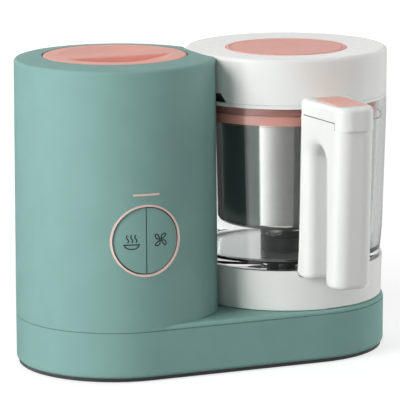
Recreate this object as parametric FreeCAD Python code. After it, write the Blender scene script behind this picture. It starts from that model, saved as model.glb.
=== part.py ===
"""Countertop baby food maker: a steam column beside a glass blending bowl, on one low base.

Millimetres, +Z up, +X from the column to the bowl, front (controls and handle) towards -Y.
The origin is the middle of the whole object's footprint, on the surface it stands on.
"""
import FreeCAD, Part
import math
import os

V = FreeCAD.Vector

# Plan of the two towers
COLUMN_R = 80.0          # column radius where it meets the base
COLUMN_TOP_R = 78.7      # column radius at its top
AXIS_GAP = 145.4         # column axis to bowl axis
BASE_END_R = 79.0        # base radius round the bowl
LID_R = 80.4             # lid and bowl rim radius
HANDLE_REACH = 139.0     # bowl axis to the front of the handle

# Heights above the table
FOOT_H = 1.0             # feet below the bottom plate
PLATE_T = 2.4            # bottom plate
SEAM_Z = 40.0            # parting line of base and upper housing
SEAM_GAP = 0.4
DECK_T = 3.2             # deck plate that the bowl stands on
COLUMN_TOP_Z = 244.2
LID_TOP_Z = 243.3

# Moulded housings
WALL = 2.6
PLATE_INSET = 1.8        # black bottom plate inside the base outline
FLANGE_W = 10.0          # inner flange of the base, for its screws
BASE_ROUND = 3.0
TOP_ROUND = 2.5
TOP_FALL = 2.2           # fall of the column's top from the cap to its edge
DECK_STEP = 0.3          # deck edge inside the base outline
NEST_GAP = 1.4           # lid to the hollow in the column
LIP_T = 1.6              # lip of the upper housing inside the base
LIP_H = 5.0
FIT = 0.1                # pieces that stay together
GAP = 0.3                # pieces that come apart
RUN = 0.05               # shaft in its bearing

# Feet and screws
FOOT_R = 9.0
FOOT_INSET = 22.0
FOOT_POCKET = 1.4
BOSS_R = 4.2
BOSS_H = 9.0
SCREW_R = 1.6
SCREW_HEAD_R = 3.0
SCREW_HEAD_H = 1.6
BOSS_INSET = 7.6
SIDE_ANGLE = 55.0        # screws and feet either side of each end, degrees

# Controls on the column, turned a little away from the handle
CONTROL_TURN = -3.0
CONTROL_Z = 111.3
CONTROL_R = 28.0         # rose ring, outside
CONTROL_RING_W = 2.0
RING_PROUD = 0.5
BUTTON_SINK = 1.0        # button face below the column's surface
BUTTON_T = 3.0
BUTTON_GAP = 0.4         # round each button
BUTTON_TRAVEL = 1.3
STEM_R = 2.6
STEM_TIP_R = 1.4
SWITCH_X = 12.0
SWITCH_SIDE = 6.2
SWITCH_H = 4.3
BOARD_Y = 62.0           # column axis to the front of the control board
BOARD_SIDE = 58.0
BOARD_T = 1.6
BAR_Z = 147.0            # indicator bar above the ring
BAR_W = 21.0
BAR_H = 1.5

# Water tank, its heater and its cap
TANK_R = 54.0
TANK_T = 1.0
TANK_Z = 100.0
SHOULDER_H = 5.0
NECK_R = 46.0
NECK_FLANGE = 3.0
WELL_DEPTH = 12.8        # cap well below the column's top
HEATER_R = 48.0
HEATER_T = 6.0
ELEMENT_R = 34.0
ELEMENT_TUBE = 3.2
ELEMENT_SWEEP = 320.0
PIN_H = 7.0
THERMOSTAT_R = 7.0
THERMOSTAT_H = 5.5
CAP_R = 56.6
CAP_PROUD = 0.2          # cap above the column's top
CAP_RIM_W = 11.5
CAP_RECESS = 6.0
CAP_BAR_W = 21.0
CAP_ROUND = 2.4
CAP_T = 2.4
PLUG_H = 17.0
SEAL_T = 1.5
STEAM_SHARE = 0.384      # height of the steam way, as a share of the lid
STEAM_R = 5.0
GROMMET_R = 9.0
GROMMET_PROUD = 0.4

# Drive: motor in the column's foot, belt to the spindle under the bowl
MOTOR_R = 28.0
MOTOR_H = 52.0
MOTOR_WALL = 2.0
MOTOR_END = 6.0
VENTS = 6
VENT_W = 9.4
VENT_L = 9.0
MOTOR_SHAFT_R = 3.0
ARMATURE_R = 22.0
MOUNT_SIDE = 72.0
MOUNT_T = 3.0
DAMPER_R = 6.0
DAMPER_AT = 29.0
BELT_Z = 14.0
BELT_W = 7.0
BELT_T = 1.8
MOTOR_PULLEY_R = 9.0
SPINDLE_PULLEY_R = 18.0
PULLEY_FLANGE_T = 1.6
PULLEY_FLANGE = 3.0
SPINDLE_R = 4.0
BEARING_R = 11.0
BEARING_H = 7.0
HOUSING_WALL = 3.0
HOUSING_FLANGE_R = 24.0
SEAL_H = 3.0
DOG_FLATS = 14.0         # hexagon of the drive dog, across flats
DOG_H = 9.0
DOG_SHELL_R = 13.0

# Glass bowl in its white foot
FOOT_RING_R = 77.0       # white foot at the deck
FOOT_RING_TOP_R = 77.8
FOOT_RING_TOP_Z = 75.5
FOOT_RING_WALL = 3.0
GLASS_FOOT_R = 75.4
GLASS_MID_R = 78.1
GLASS_MID_Z = 112.0
GLASS_TOP_Z = 204.1
GLASS_BOW = 0.55         # bulge of the glass between its foot and its middle
GLASS_T = 5.0
RIM_T = 3.2              # glass above the ledge for the basket
LEDGE_Z = 189.5
GLASS_FLOOR_T = 5.0
GLASS_FLOOR_Z = 80.0
GASKET_T = 1.4
GASKET_W = 8.0
RIM_RING_T = 2.7
RIM_RING_W = 3.0
LID_SEAM = 0.2           # lid above the rim ring

# Blade set
HUB_R = 20.4             # dark bearing housing in the bowl
HUB_H = 11.0
SLEEVE_R = 13.0
BEARING_NUT_R = 20.0
BEARING_NUT_H = 5.0
BLADE_SHAFT_R = 4.0
BUSH_T = 2.5
BLADE_REACH = 40.0
BLADE_W = 13.0
BLADE_ROOT = 8.1
BLADE_KNEE_LOW = 32.0
BLADE_KNEE_HIGH = 28.0
BLADE_TIP_Y = 2.6
BLADE_TURN = 48.0
BLADE_CROSS = 40.0       # upper blade from the lower one, degrees
BLADE_T = 1.4
BLADE_LIFT = 5.0         # upward bend of the upper blade, degrees
BLADE_EYE_R = 9.0
BLADE_HUB_R = 20.4       # dark carrier under the blades
BLADE_HUB_H = 4.5
BLADE_NUT_FLATS = 11.0
BLADE_NUT_H = 3.0

# Steaming basket
BASKET_TOP_R = 56.4
BASKET_R = 54.8
BASKET_Z = 103.2
BASKET_T = 0.8
BASKET_ROUND = 5.0
BASKET_LIP = 4.0
BASKET_HOLE_R = 2.5
BASKET_HOLE_STEP = 13.5
BASKET_HOLE_RINGS = 3
COLLAR_R = 71.8          # coral collar of the basket
COLLAR_H = 7.5
COLLAR_WALL = 3.0
COLLAR_WEB_T = 2.4
COLLAR_LUGS = 3          # lugs that rest on the glass ledge
COLLAR_LUG_W = 12.0
COLLAR_LUG_T = 2.5

# Lid
LID_WALL = 2.6
LID_ROUND = 3.2
LID_DISH = 1.2           # fall of the lid's top from its edge to the insert
LID_TOP_T = 3.0
INSERT_R = 48.4
INSERT_SEAT = 3.6
INSERT_PROUD = 0.4
INSERT_EDGE = 0.5
INSERT_RIM_W = 3.0
INSERT_DISH = 0.7
LINER_SHARE = 0.1354     # height of the liner, as a share of the lid
LINER_T = 2.4
LINER_STEP = 1.0
CHIMNEY_R = 14.0
LID_SEAL_H = 5.0
LID_SEAL_W = 3.0
NOTCH_W = 84.0           # relief in the lid's edge beside the column
NOTCH_TOP_W = 74.0
NOTCH_H = 7.0

# Handle
HANDLE_W = 30.2          # across the front of the grip
HANDLE_BACK_W = 41.0     # where it meets the lid
HANDLE_ROUND = 12.0
HANDLE_BOTTOM_Z = 70.5
HANDLE_SEAM_Z = 201.0
HANDLE_TOP_Z = 213.0
HANDLE_EDGE = 9.0        # round the finger gap
GRIP_EDGE = 4.5          # round the bottom
GRIP_T = 28.5            # front of the handle to the finger gap
GRIP_SET = 1.5           # body behind the cap at the front
GRIP_LEAN = 5.0          # the front leans in by this towards the bottom
FINGER_GAP = 23.0
ARCH_TOP_Z = 177.5
HANDLE_LID_GAP = 0.6
CAP_WALL = 2.2
CAP_EDGE = 3.6
SEAM_EDGE = 0.6          # round the body's edge under the cap
SKIRT_H = 6.0
SKIRT_D = 9.5
PAD_W = 24.4
PAD_FRONT = 11.9         # pad to the front of the handle
PAD_INSET = 2.6
PAD_ROUND = 2.6
PAD_T = 2.0
PAD_PROUD = 0.4
PAD_TRAVEL = 2.2
SPRING_R = 3.4
SPRING_WALL = 0.8
SPRING_POCKET = 1.4
LUG_W = 26.0
LUG_L = 16.0
LATCH_W = 10.0
LATCH_T = 1.6
LATCH_L = 17.0
LATCH_BITE = 1.0
HANDLE_SCREW_X = 9.0

# Rear inlet and power board
INLET_R = 6.0
INLET_BORE_R = 3.6
INLET_Z = 16.0
INLET_FLANGE = 2.5
POWER_L = 62.0
POWER_W = 36.0
POWER_Y = 46.0
POWER_X = 62.0
CORE_L = 22.0            # transformer and relay on the power board
CORE_W = 25.0
CORE_H = 10.0
RELAY_L = 15.0
RELAY_W = 18.0
RELAY_H = 7.5
POWER_EDGE = 6.2
STANDOFF_H = 5.0
STANDOFF_R = 3.0

# Places worked out from the sizes above
COLUMN_X = -(AXIS_GAP + LID_R - COLUMN_R) / 2
BOWL_X = COLUMN_X + AXIS_GAP
AXIS_Y = (HANDLE_REACH - LID_R) / 2
PLATE_TOP_Z = FOOT_H + PLATE_T
DECK_Z = SEAM_Z + DECK_T
NEST_R = LID_R + NEST_GAP
SHOULDER_Z = COLUMN_TOP_Z - TOP_FALL
SHOULDER_R = COLUMN_TOP_R - (COLUMN_TOP_R - COLUMN_R) * TOP_FALL / (COLUMN_TOP_Z - DECK_Z)
WELL_Z = COLUMN_TOP_Z - WELL_DEPTH
NECK_TOP_Z = WELL_Z + TANK_T
CAP_Z = NECK_TOP_Z + FIT + SEAL_T
CAP_TOP_Z = COLUMN_TOP_Z + CAP_PROUD
TANK_TOP_Z = WELL_Z - WALL - FIT
GLASS_Z = GLASS_FLOOR_Z - GLASS_FLOOR_T
RIM_RING_Z = GLASS_TOP_Z + FIT
LUG_TOP_Z = RIM_RING_Z + RIM_RING_T / 2
LID_Z = RIM_RING_Z + RIM_RING_T + LID_SEAM
INSERT_Z = LID_TOP_Z - LID_DISH
LINER_Z = LID_Z + LINER_SHARE * (LID_TOP_Z - LID_Z)
STEAM_Z = LID_Z + STEAM_SHARE * (LID_TOP_Z - LID_Z)
LEDGE_R = LID_R - RIM_T
COLLAR_Z = LEDGE_Z + GAP
COLLAR_TOP_Z = COLLAR_Z + COLLAR_H
HUB_TOP_Z = GLASS_FLOOR_Z + HUB_H
MOUNT_Z = BELT_Z + BELT_W / 2 + PULLEY_FLANGE_T + 2 * GAP
MOTOR_Z = MOUNT_Z + MOUNT_T
MOTOR_TOP_Z = MOTOR_Z + MOTOR_H
DOG_Z = DECK_Z + SEAL_H + GAP
FINGER_OUT = HANDLE_REACH - GRIP_T
FINGER_IN = FINGER_OUT - FINGER_GAP
PAD_L = HANDLE_REACH - LID_R - HANDLE_LID_GAP - PAD_INSET - PAD_FRONT


def turned(points):
    """Revolve a closed (r, z) outline; a four-number point is an arc's middle and end."""
    edges = []
    ring = list(points) + [points[0]]
    for here, there in zip(ring, ring[1:]):
        start = V(here[-2], 0, here[-1])
        end = V(there[-2], 0, there[-1])
        if len(there) == 4:
            edges.append(Part.Arc(start, V(there[0], 0, there[1]), end).toShape())
        else:
            edges.append(Part.makeLine(start, end))
    return Part.Face(Part.Wire(edges)).revolve(V(0, 0, 0), V(0, 0, 1), 360)


def tube(outer, inner, z0, z1):
    return turned([(inner, z0), (outer, z0), (outer, z1), (inner, z1)])


def rod(radius, z0, z1, x=0.0, y=0.0):
    return Part.makeCylinder(radius, z1 - z0, V(x, y, z0))


def rod_y(radius, y0, y1, x, z):
    return Part.makeCylinder(radius, y1 - y0, V(x, y0, z), V(0, 1, 0))


def rod_x(radius, x0, x1, z):
    return Part.makeCylinder(radius, x1 - x0, V(x0, 0, z), V(1, 0, 0))


def block(x0, x1, y0, y1, z0, z1):
    return Part.makeBox(x1 - x0, y1 - y0, z1 - z0, V(x0, y0, z0))


def hexagon(flats, z0, z1):
    corner = flats / math.sqrt(3)
    points = [V(corner * math.cos(a * math.pi / 3), corner * math.sin(a * math.pi / 3), z0) for a in range(7)]
    return Part.Face(Part.makePolygon(points)).extrude(V(0, 0, z1 - z0))


def fuse(first, *others):
    return first.multiFuse(list(others)).removeSplitter()


def cut(first, *others):
    return first.cut(Part.makeCompound(list(others)))


def round_edges(shape, radius, chosen):
    return shape.makeFillet(radius, [edge for edge in shape.Edges if chosen(edge)])


def near(a, b):
    return abs(a - b) < 1e-4


def ring_edge(radius, z):
    """Pick the circular edge of one radius at one height."""
    def chosen(edge):
        if edge.Degenerated:
            return False
        curve = edge.Curve
        return isinstance(curve, Part.Circle) and near(curve.Radius, radius) and near(curve.Center.z, z)
    return chosen


def level_edge(z):
    """Pick every edge that lies flat at one height."""
    return lambda edge: near(edge.BoundBox.ZMin, z) and near(edge.BoundBox.ZMax, z)


def outline(r_left, r_right, left, right, z):
    """Wire round two circles, joined by their outer tangents."""
    reach = right[0] - left[0]
    lean = math.acos((r_left - r_right) / reach)

    def on(centre, radius, angle):
        return V(centre[0] + radius * math.cos(angle), centre[1] + radius * math.sin(angle), z)

    far = Part.Arc(on(left, r_left, lean), on(left, r_left, math.pi), on(left, r_left, -lean)).toShape()
    low = Part.makeLine(on(left, r_left, -lean), on(right, r_right, -lean))
    end = Part.Arc(on(right, r_right, -lean), on(right, r_right, 0), on(right, r_right, lean)).toShape()
    high = Part.makeLine(on(right, r_right, lean), on(left, r_left, lean))
    return Part.Wire([far, low, end, high])


def base_prism(inset, z0, z1):
    """The base's plan, drawn in by an inset, between two heights."""
    wire = outline(COLUMN_R - inset, BASE_END_R - inset, (COLUMN_X, AXIS_Y), (BOWL_X, AXIS_Y), z0)
    return Part.Face(wire).extrude(V(0, 0, z1 - z0))


def at_column(shape):
    return shape.translated(V(COLUMN_X, AXIS_Y, 0))


def at_bowl(shape):
    return shape.translated(V(BOWL_X, AXIS_Y, 0))


def at_controls(shape):
    turned_shape = shape.copy()
    turned_shape.rotate(V(0, 0, 0), V(0, 0, 1), CONTROL_TURN)
    return at_column(turned_shape)


def column_cone(offset, z0, z1):
    """The column's tapered wall, moved in or out by an offset."""
    taper = (COLUMN_TOP_R - COLUMN_R) / (COLUMN_TOP_Z - DECK_Z)

    def radius(z):
        return COLUMN_R + offset + taper * (z - DECK_Z)
    return Part.makeCone(radius(z0), radius(z1), z1 - z0, V(0, 0, z0))


def column_skin(inner, outer):
    """A layer of the column's wall at the height of the controls, between two offsets."""
    low = CONTROL_Z - 2 * CONTROL_R
    high = BAR_Z + CONTROL_R
    return column_cone(outer, low, high).cut(column_cone(inner, low, high))


def ring_points(inset, angles):
    """Places round both ends of the base, by angles from each end's outward direction."""
    for centre, radius, outward in ((COLUMN_X, COLUMN_R, -1), (BOWL_X, BASE_END_R, 1)):
        reach = radius - inset
        for angle in angles:
            turn = math.radians(angle)
            yield (centre + outward * reach * math.cos(turn), AXIS_Y + reach * math.sin(turn))


def screw_places():
    return list(ring_points(BOSS_INSET, (SIDE_ANGLE, 0, -SIDE_ANGLE)))


def foot_places():
    return list(ring_points(FOOT_INSET, (SIDE_ANGLE, -SIDE_ANGLE)))


def place_all(make, places):
    return Part.makeCompound([make(x, y) for x, y in places])


# Base


def base_shell():
    top = SEAM_Z - SEAM_GAP
    shell = round_edges(base_prism(0, PLATE_TOP_Z, top), BASE_ROUND, level_edge(PLATE_TOP_Z))
    shell = cut(shell, base_prism(WALL, PLATE_TOP_Z + WALL, top + 1),
                base_prism(WALL + FLANGE_W, PLATE_TOP_Z - 1, PLATE_TOP_Z + WALL + 1))
    bosses = [rod(BOSS_R, PLATE_TOP_Z + WALL, PLATE_TOP_Z + WALL + BOSS_H, x, y) for x, y in screw_places()]
    shell = fuse(shell, *bosses)
    boss_top = PLATE_TOP_Z + WALL + BOSS_H
    holes = [rod(SCREW_R + FIT, PLATE_TOP_Z - 1, boss_top + 1, x, y) for x, y in screw_places()]
    inlet = rod_y(INLET_R + FIT, AXIS_Y + COLUMN_R - 2 * WALL, AXIS_Y + COLUMN_R + WALL, COLUMN_X, INLET_Z)
    return cut(shell, inlet, *holes)


def bottom_plate():
    plate = base_prism(PLATE_INSET, FOOT_H, PLATE_TOP_Z)
    pockets = [rod(FOOT_R + FIT, FOOT_H - 1, FOOT_H + FOOT_POCKET, x, y) for x, y in foot_places()]
    holes = [rod(SCREW_R + FIT, FOOT_H - 1, PLATE_TOP_Z + 1, x, y) for x, y in screw_places()]
    sinks = [rod(SCREW_HEAD_R + FIT, FOOT_H - 1, FOOT_H + SCREW_HEAD_H + FIT, x, y) for x, y in screw_places()]
    return cut(plate, *pockets, *holes, *sinks)


def feet():
    def foot(x, y):
        pad = rod(FOOT_R, 0, FOOT_H + FOOT_POCKET, x, y)
        return round_edges(pad, FOOT_H / 2, ring_edge(FOOT_R, 0))
    return place_all(foot, foot_places())


def base_screws():
    def screw(x, y):
        head_top = FOOT_H + SCREW_HEAD_H
        return fuse(rod(SCREW_HEAD_R, FOOT_H, head_top, x, y),
                    rod(SCREW_R, head_top, PLATE_TOP_Z + WALL + BOSS_H, x, y))
    return place_all(screw, screw_places())


def cord_gland():
    back = COLUMN_R - WALL
    sleeve = rod_y(INLET_R, back - FIT - INLET_FLANGE, COLUMN_R - GAP, 0, INLET_Z)
    flange = rod_y(INLET_R + INLET_FLANGE, back - FIT - INLET_FLANGE, back - FIT, 0, INLET_Z)
    bore = rod_y(INLET_BORE_R, back - 2 * INLET_FLANGE, COLUMN_R + 1, 0, INLET_Z)
    curve = rod(COLUMN_R - WALL - FIT, INLET_Z - 3 * INLET_R, INLET_Z + 3 * INLET_R)
    return at_column(fuse(flange.common(curve), sleeve).cut(bore))


# Upper housing


def housing_outside():
    crown = Part.makeCone(SHOULDER_R, CAP_R, TOP_FALL, V(0, 0, SHOULDER_Z))
    column = fuse(rod(COLUMN_R, SEAM_Z, DECK_Z), column_cone(0, DECK_Z, SHOULDER_Z), crown)
    column = round_edges(column, TOP_ROUND, ring_edge(SHOULDER_R, SHOULDER_Z))
    deck = base_prism(DECK_STEP, SEAM_Z, DECK_Z)
    deck = round_edges(deck, DECK_T - 2 * GAP, level_edge(DECK_Z))
    nest = at_bowl(rod(NEST_R, DECK_Z, COLUMN_TOP_Z + 1))
    column = at_column(column).cut(nest)
    return fuse(column, deck)


def housing_inside():
    room = at_column(column_cone(-WALL, SEAM_Z - 1, SHOULDER_Z - WALL))
    nest_wall = at_bowl(rod(NEST_R + WALL, SEAM_Z - 2, COLUMN_TOP_Z + 1))
    return room.cut(nest_wall)


def well():
    """The sunk seat of the cap: a pot hanging from the column's top."""
    rim = CAP_R + 2 * GAP
    pot = rod(rim + WALL, WELL_Z - WALL, COLUMN_TOP_Z - WALL / 2)
    hollow = fuse(rod(rim, WELL_Z, COLUMN_TOP_Z + 1), rod(NECK_R + GAP, WELL_Z - 2 * WALL, WELL_Z + 1))
    return at_column(pot), at_column(hollow)


def body_shell():
    pot, hollow = well()
    shell = housing_outside().cut(housing_inside())
    shell = fuse(shell, pot)
    lip = base_prism(WALL + FIT, SEAM_Z - LIP_H, SEAM_Z + WALL / 2)
    lip = lip.cut(base_prism(WALL + FIT + LIP_T, SEAM_Z - LIP_H - 1, SEAM_Z + WALL))
    board_posts = []
    reach = BOARD_SIDE / 2 - STANDOFF_R
    inside = column_cone(-WALL / 2, DECK_Z, COLUMN_TOP_Z)
    for x in (-reach, reach):
        for z in (CONTROL_Z - reach, CONTROL_Z + reach):
            post = rod_y(STANDOFF_R, -COLUMN_R, -BOARD_Y, x, z)
            board_posts.append(at_controls(post.common(inside)))
    shell = fuse(shell, lip, *board_posts)
    window = at_controls(rod_y(CONTROL_R + FIT, -COLUMN_R - WALL, -BOARD_Y - SWITCH_H - WALL, 0, CONTROL_Z))
    bar = at_controls(block(-BAR_W / 2 - FIT, BAR_W / 2 + FIT, -COLUMN_R - WALL, -COLUMN_R + 2 * WALL,
                            BAR_Z - BAR_H / 2 - FIT, BAR_Z + BAR_H / 2 + FIT))
    steam = at_column(rod_x(GROMMET_R + FIT, TANK_R + FIT, AXIS_GAP - LID_R, STEAM_Z))
    shaft = at_bowl(rod(SPINDLE_R + GAP, SEAM_Z - 1, DECK_Z + 1))
    return cut(shell, hollow, window, bar, steam, shaft)


def control_ring():
    back = -BOARD_Y - SWITCH_H
    bore = rod_y(CONTROL_R - CONTROL_RING_W, -COLUMN_R - WALL, back, 0, CONTROL_Z)
    rim = rod_y(CONTROL_R, -COLUMN_R - WALL, back, 0, CONTROL_Z).common(column_skin(-WALL, RING_PROUD))
    flange = rod_y(CONTROL_R + CONTROL_RING_W, -COLUMN_R - WALL, back, 0, CONTROL_Z)
    flange = flange.common(column_skin(-WALL - FIT - CONTROL_RING_W, -WALL - FIT))
    hoop = rod_y(CONTROL_R, -COLUMN_R - WALL, back, 0, CONTROL_Z)
    hoop = hoop.common(column_skin(-WALL - CONTROL_RING_W, -WALL / 2))
    return at_controls(fuse(rim, hoop, flange).cut(bore))


def indicator_bar():
    bar = block(-BAR_W / 2, BAR_W / 2, -COLUMN_R - WALL, -BOARD_Y, BAR_Z - BAR_H / 2, BAR_Z + BAR_H / 2)
    return at_controls(bar.common(column_skin(-WALL, FIT)))


def button(side):
    """One half of the round control, with the stem that works its switch."""
    radius = CONTROL_R - CONTROL_RING_W - BUTTON_GAP
    half = rod_y(radius, -COLUMN_R, -BOARD_Y - SWITCH_H, 0, CONTROL_Z)
    half = half.common(column_skin(-BUTTON_SINK - BUTTON_T, -BUTTON_SINK))
    keep = block(BUTTON_GAP, COLUMN_R, -COLUMN_R, 0, CONTROL_Z - COLUMN_R, CONTROL_Z + COLUMN_R)
    switch_top = -BOARD_Y - SWITCH_H
    stem = rod_y(STEM_R, -COLUMN_R, switch_top - BUTTON_TRAVEL - GAP, SWITCH_X, CONTROL_Z)
    stem = stem.common(column_cone(-BUTTON_SINK - BUTTON_T / 2, DECK_Z, COLUMN_TOP_Z))
    tip = rod_y(STEM_TIP_R, switch_top - 2 * BUTTON_TRAVEL, switch_top + GAP, SWITCH_X, CONTROL_Z)
    shape = fuse(half.common(keep), stem, tip)
    if side < 0:
        shape = shape.mirror(V(0, 0, 0), V(1, 0, 0))
    return at_controls(shape)


def control_board():
    half = BOARD_SIDE / 2
    return at_controls(block(-half, half, -BOARD_Y, -BOARD_Y + BOARD_T, CONTROL_Z - half, CONTROL_Z + half))


def tact_switches():
    half = SWITCH_SIDE / 2
    top = -BOARD_Y - SWITCH_H
    switches = []
    for x in (-SWITCH_X, SWITCH_X):
        body = block(x - half, x + half, top, -BOARD_Y, CONTROL_Z - half, CONTROL_Z + half)
        socket = rod_y(STEM_TIP_R + GAP, top - 1, top + 2 * BUTTON_TRAVEL, x, CONTROL_Z)
        switches.append(at_controls(body.cut(socket)))
    return Part.makeCompound(switches)


# Steam side


def water_tank():
    inside = TANK_R - TANK_T
    neck_in = NECK_R - TANK_T
    shoulder = TANK_TOP_Z - SHOULDER_H
    tank = turned([(0, TANK_Z), (TANK_R, TANK_Z), (TANK_R, shoulder), (NECK_R, TANK_TOP_Z), (NECK_R, WELL_Z),
                   (NECK_R + NECK_FLANGE, WELL_Z), (NECK_R + NECK_FLANGE, NECK_TOP_Z), (neck_in, NECK_TOP_Z),
                   (neck_in, TANK_TOP_Z - TANK_T / 2), (inside, shoulder - TANK_T / 2),
                   (inside, TANK_Z + TANK_T), (0, TANK_Z + TANK_T)])
    return at_column(tank.cut(rod_x(STEAM_R - TANK_T, 0, AXIS_GAP / 2, STEAM_Z)))


def heater_plate():
    plate = rod(HEATER_R, TANK_Z - HEATER_T, TANK_Z)
    return at_column(round_edges(plate, HEATER_T / 4, ring_edge(HEATER_R, TANK_Z - HEATER_T)))


def heater_element():
    z = TANK_Z - HEATER_T - ELEMENT_TUBE
    hoop = Part.makeTorus(ELEMENT_R, ELEMENT_TUBE, V(0, 0, z), V(0, 0, 1), -180, 180, ELEMENT_SWEEP)
    ends = []
    for angle in (0, math.radians(ELEMENT_SWEEP)):
        x = ELEMENT_R * math.cos(angle)
        y = ELEMENT_R * math.sin(angle)
        ends += [rod(ELEMENT_TUBE, z - PIN_H, z, x, y), Part.makeSphere(ELEMENT_TUBE, V(x, y, z))]
    return at_column(fuse(hoop, *ends))


def thermostats():
    top = TANK_Z - HEATER_T
    spread = THERMOSTAT_R + WALL
    discs = [rod(THERMOSTAT_R, top - THERMOSTAT_H, top, 0, y) for y in (-spread, spread)]
    return at_column(Part.makeCompound(discs))


def steam_tube():
    wall_in = AXIS_GAP - NEST_R - WALL
    pipe = rod_x(STEAM_R, TANK_R - TANK_T / 2, wall_in + WALL / 2, STEAM_Z)
    pipe = pipe.cut(rod(TANK_R, TANK_Z, COLUMN_TOP_Z))
    return at_column(pipe.cut(rod_x(STEAM_R - TANK_T, 0, AXIS_GAP, STEAM_Z)))


def steam_outlet():
    """Soft grommet in the column's hollow that meets the lid."""
    wall_in = AXIS_GAP - NEST_R - WALL
    face = rod(NEST_R - GROMMET_PROUD, DECK_Z, COLUMN_TOP_Z).translated(V(AXIS_GAP, 0, 0))
    sleeve = rod_x(GROMMET_R, wall_in - WALL, AXIS_GAP - LID_R, STEAM_Z).cut(face)
    sleeve = sleeve.cut(rod(TANK_R + GAP, TANK_Z, COLUMN_TOP_Z))
    return at_column(sleeve.cut(rod_x(STEAM_R + FIT, 0, AXIS_GAP, STEAM_Z)))


def reservoir_cap():
    rim_in = CAP_R - CAP_RIM_W
    disc = rod(CAP_R, CAP_Z, CAP_TOP_Z)
    disc = round_edges(disc, CAP_ROUND, ring_edge(CAP_R, CAP_TOP_Z))
    sphere = (rim_in ** 2 + CAP_RECESS ** 2) / (2 * CAP_RECESS)
    dish = Part.makeSphere(sphere, V(0, 0, CAP_TOP_Z - CAP_RECESS + sphere))
    grip = block(-rim_in, rim_in, -CAP_BAR_W / 2, CAP_BAR_W / 2, CAP_TOP_Z - CAP_RECESS - 1, CAP_TOP_Z + 2)
    disc = disc.cut(dish.cut(grip))
    return at_column(round_edges(disc, CAP_ROUND / 2, level_edge(CAP_TOP_Z)))


def cap_plug():
    """Threaded cup under the cap, inside the tank's neck."""
    outer = NECK_R - TANK_T - GAP
    inner = outer - CAP_T
    cup = turned([(0, NECK_TOP_Z - PLUG_H), (outer, NECK_TOP_Z - PLUG_H), (outer, CAP_Z), (inner, CAP_Z),
                  (inner, NECK_TOP_Z - PLUG_H + CAP_T), (0, NECK_TOP_Z - PLUG_H + CAP_T)])
    return at_column(cup)


def cap_seal():
    return at_column(tube(NECK_R + NECK_FLANGE, NECK_R - TANK_T + FIT, NECK_TOP_Z + FIT, CAP_Z - FIT))


# Drive


def motor_can():
    bush = MOTOR_SHAFT_R + BUSH_T + FIT
    inner = MOTOR_R - MOTOR_WALL
    low = MOTOR_Z + MOTOR_END
    high = MOTOR_TOP_Z - MOTOR_END
    can = turned([(bush, MOTOR_Z), (MOTOR_R, MOTOR_Z), (MOTOR_R, MOTOR_TOP_Z), (bush, MOTOR_TOP_Z),
                  (bush, high), (inner, high), (inner, low), (bush, low)])
    vents = []
    for step in range(VENTS):
        vent = block(-VENT_W / 2, VENT_W / 2, inner - MOTOR_WALL, MOTOR_R + 1, high - VENT_L, high)
        vent.rotate(V(0, 0, 0), V(0, 0, 1), 360 * step / VENTS)
        vents.append(vent)
    return at_column(cut(can, *vents))


def motor_bushes():
    bore = MOTOR_SHAFT_R + RUN
    low = tube(MOTOR_SHAFT_R + BUSH_T, bore, MOTOR_Z, MOTOR_Z + MOTOR_END)
    high = tube(MOTOR_SHAFT_R + BUSH_T, bore, MOTOR_TOP_Z - MOTOR_END, MOTOR_TOP_Z)
    return at_column(Part.makeCompound([low, high]))


def motor_shaft():
    return at_column(rod(MOTOR_SHAFT_R, BELT_Z - BELT_W / 2 - PULLEY_FLANGE_T, MOTOR_TOP_Z + WALL))


def motor_armature():
    end = MOTOR_END + 2 * GAP
    return at_column(tube(ARMATURE_R, MOTOR_SHAFT_R, MOTOR_Z + end, MOTOR_TOP_Z - end - VENT_L))


def motor_mount():
    half = MOUNT_SIDE / 2
    plate = block(-half, half, -half, half, MOUNT_Z, MOTOR_Z)
    plate = round_edges(plate, DAMPER_R, lambda edge: near(edge.Length, MOUNT_T))
    holes = [rod(SCREW_R + FIT, MOUNT_Z - 1, MOTOR_Z + 1, x, y) for x, y in damper_places()]
    return at_column(cut(plate, rod(MOTOR_SHAFT_R + BUSH_T, MOUNT_Z - 1, MOTOR_Z + 1), *holes))


def damper_places():
    return [(x, y) for x in (-DAMPER_AT, DAMPER_AT) for y in (-DAMPER_AT, DAMPER_AT)]


def motor_dampers():
    return at_column(place_all(lambda x, y: rod(DAMPER_R, PLATE_TOP_Z, MOUNT_Z, x, y), damper_places()))


def pulley(radius, bore):
    edge = radius + PULLEY_FLANGE
    low = BELT_Z - BELT_W / 2 - GAP
    high = BELT_Z + BELT_W / 2 + GAP
    bottom = low - PULLEY_FLANGE_T
    top = high + PULLEY_FLANGE_T
    return turned([(bore, bottom), (edge, bottom), (edge, low - PULLEY_FLANGE_T / 2), (radius, low),
                   (radius, high), (edge, high + PULLEY_FLANGE_T / 2), (edge, top), (bore, top)])


def motor_pulley():
    return at_column(pulley(MOTOR_PULLEY_R, MOTOR_SHAFT_R))


def spindle_pulley():
    return at_bowl(pulley(SPINDLE_PULLEY_R, SPINDLE_R))


def drive_belt():
    def loop(grow):
        left = MOTOR_PULLEY_R + GAP + grow
        right = SPINDLE_PULLEY_R + GAP + grow
        wire = outline(left, right, (COLUMN_X, AXIS_Y), (BOWL_X, AXIS_Y), BELT_Z - BELT_W / 2)
        return Part.Face(wire).extrude(V(0, 0, BELT_W))
    return loop(BELT_T).cut(loop(0))


def drive_spindle():
    return at_bowl(rod(SPINDLE_R, BELT_Z - BELT_W / 2 - PULLEY_FLANGE_T - GAP, DOG_Z + DOG_H / 2))


def bearing_low_z():
    return BELT_Z + BELT_W / 2 + PULLEY_FLANGE_T + 3 * GAP


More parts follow.
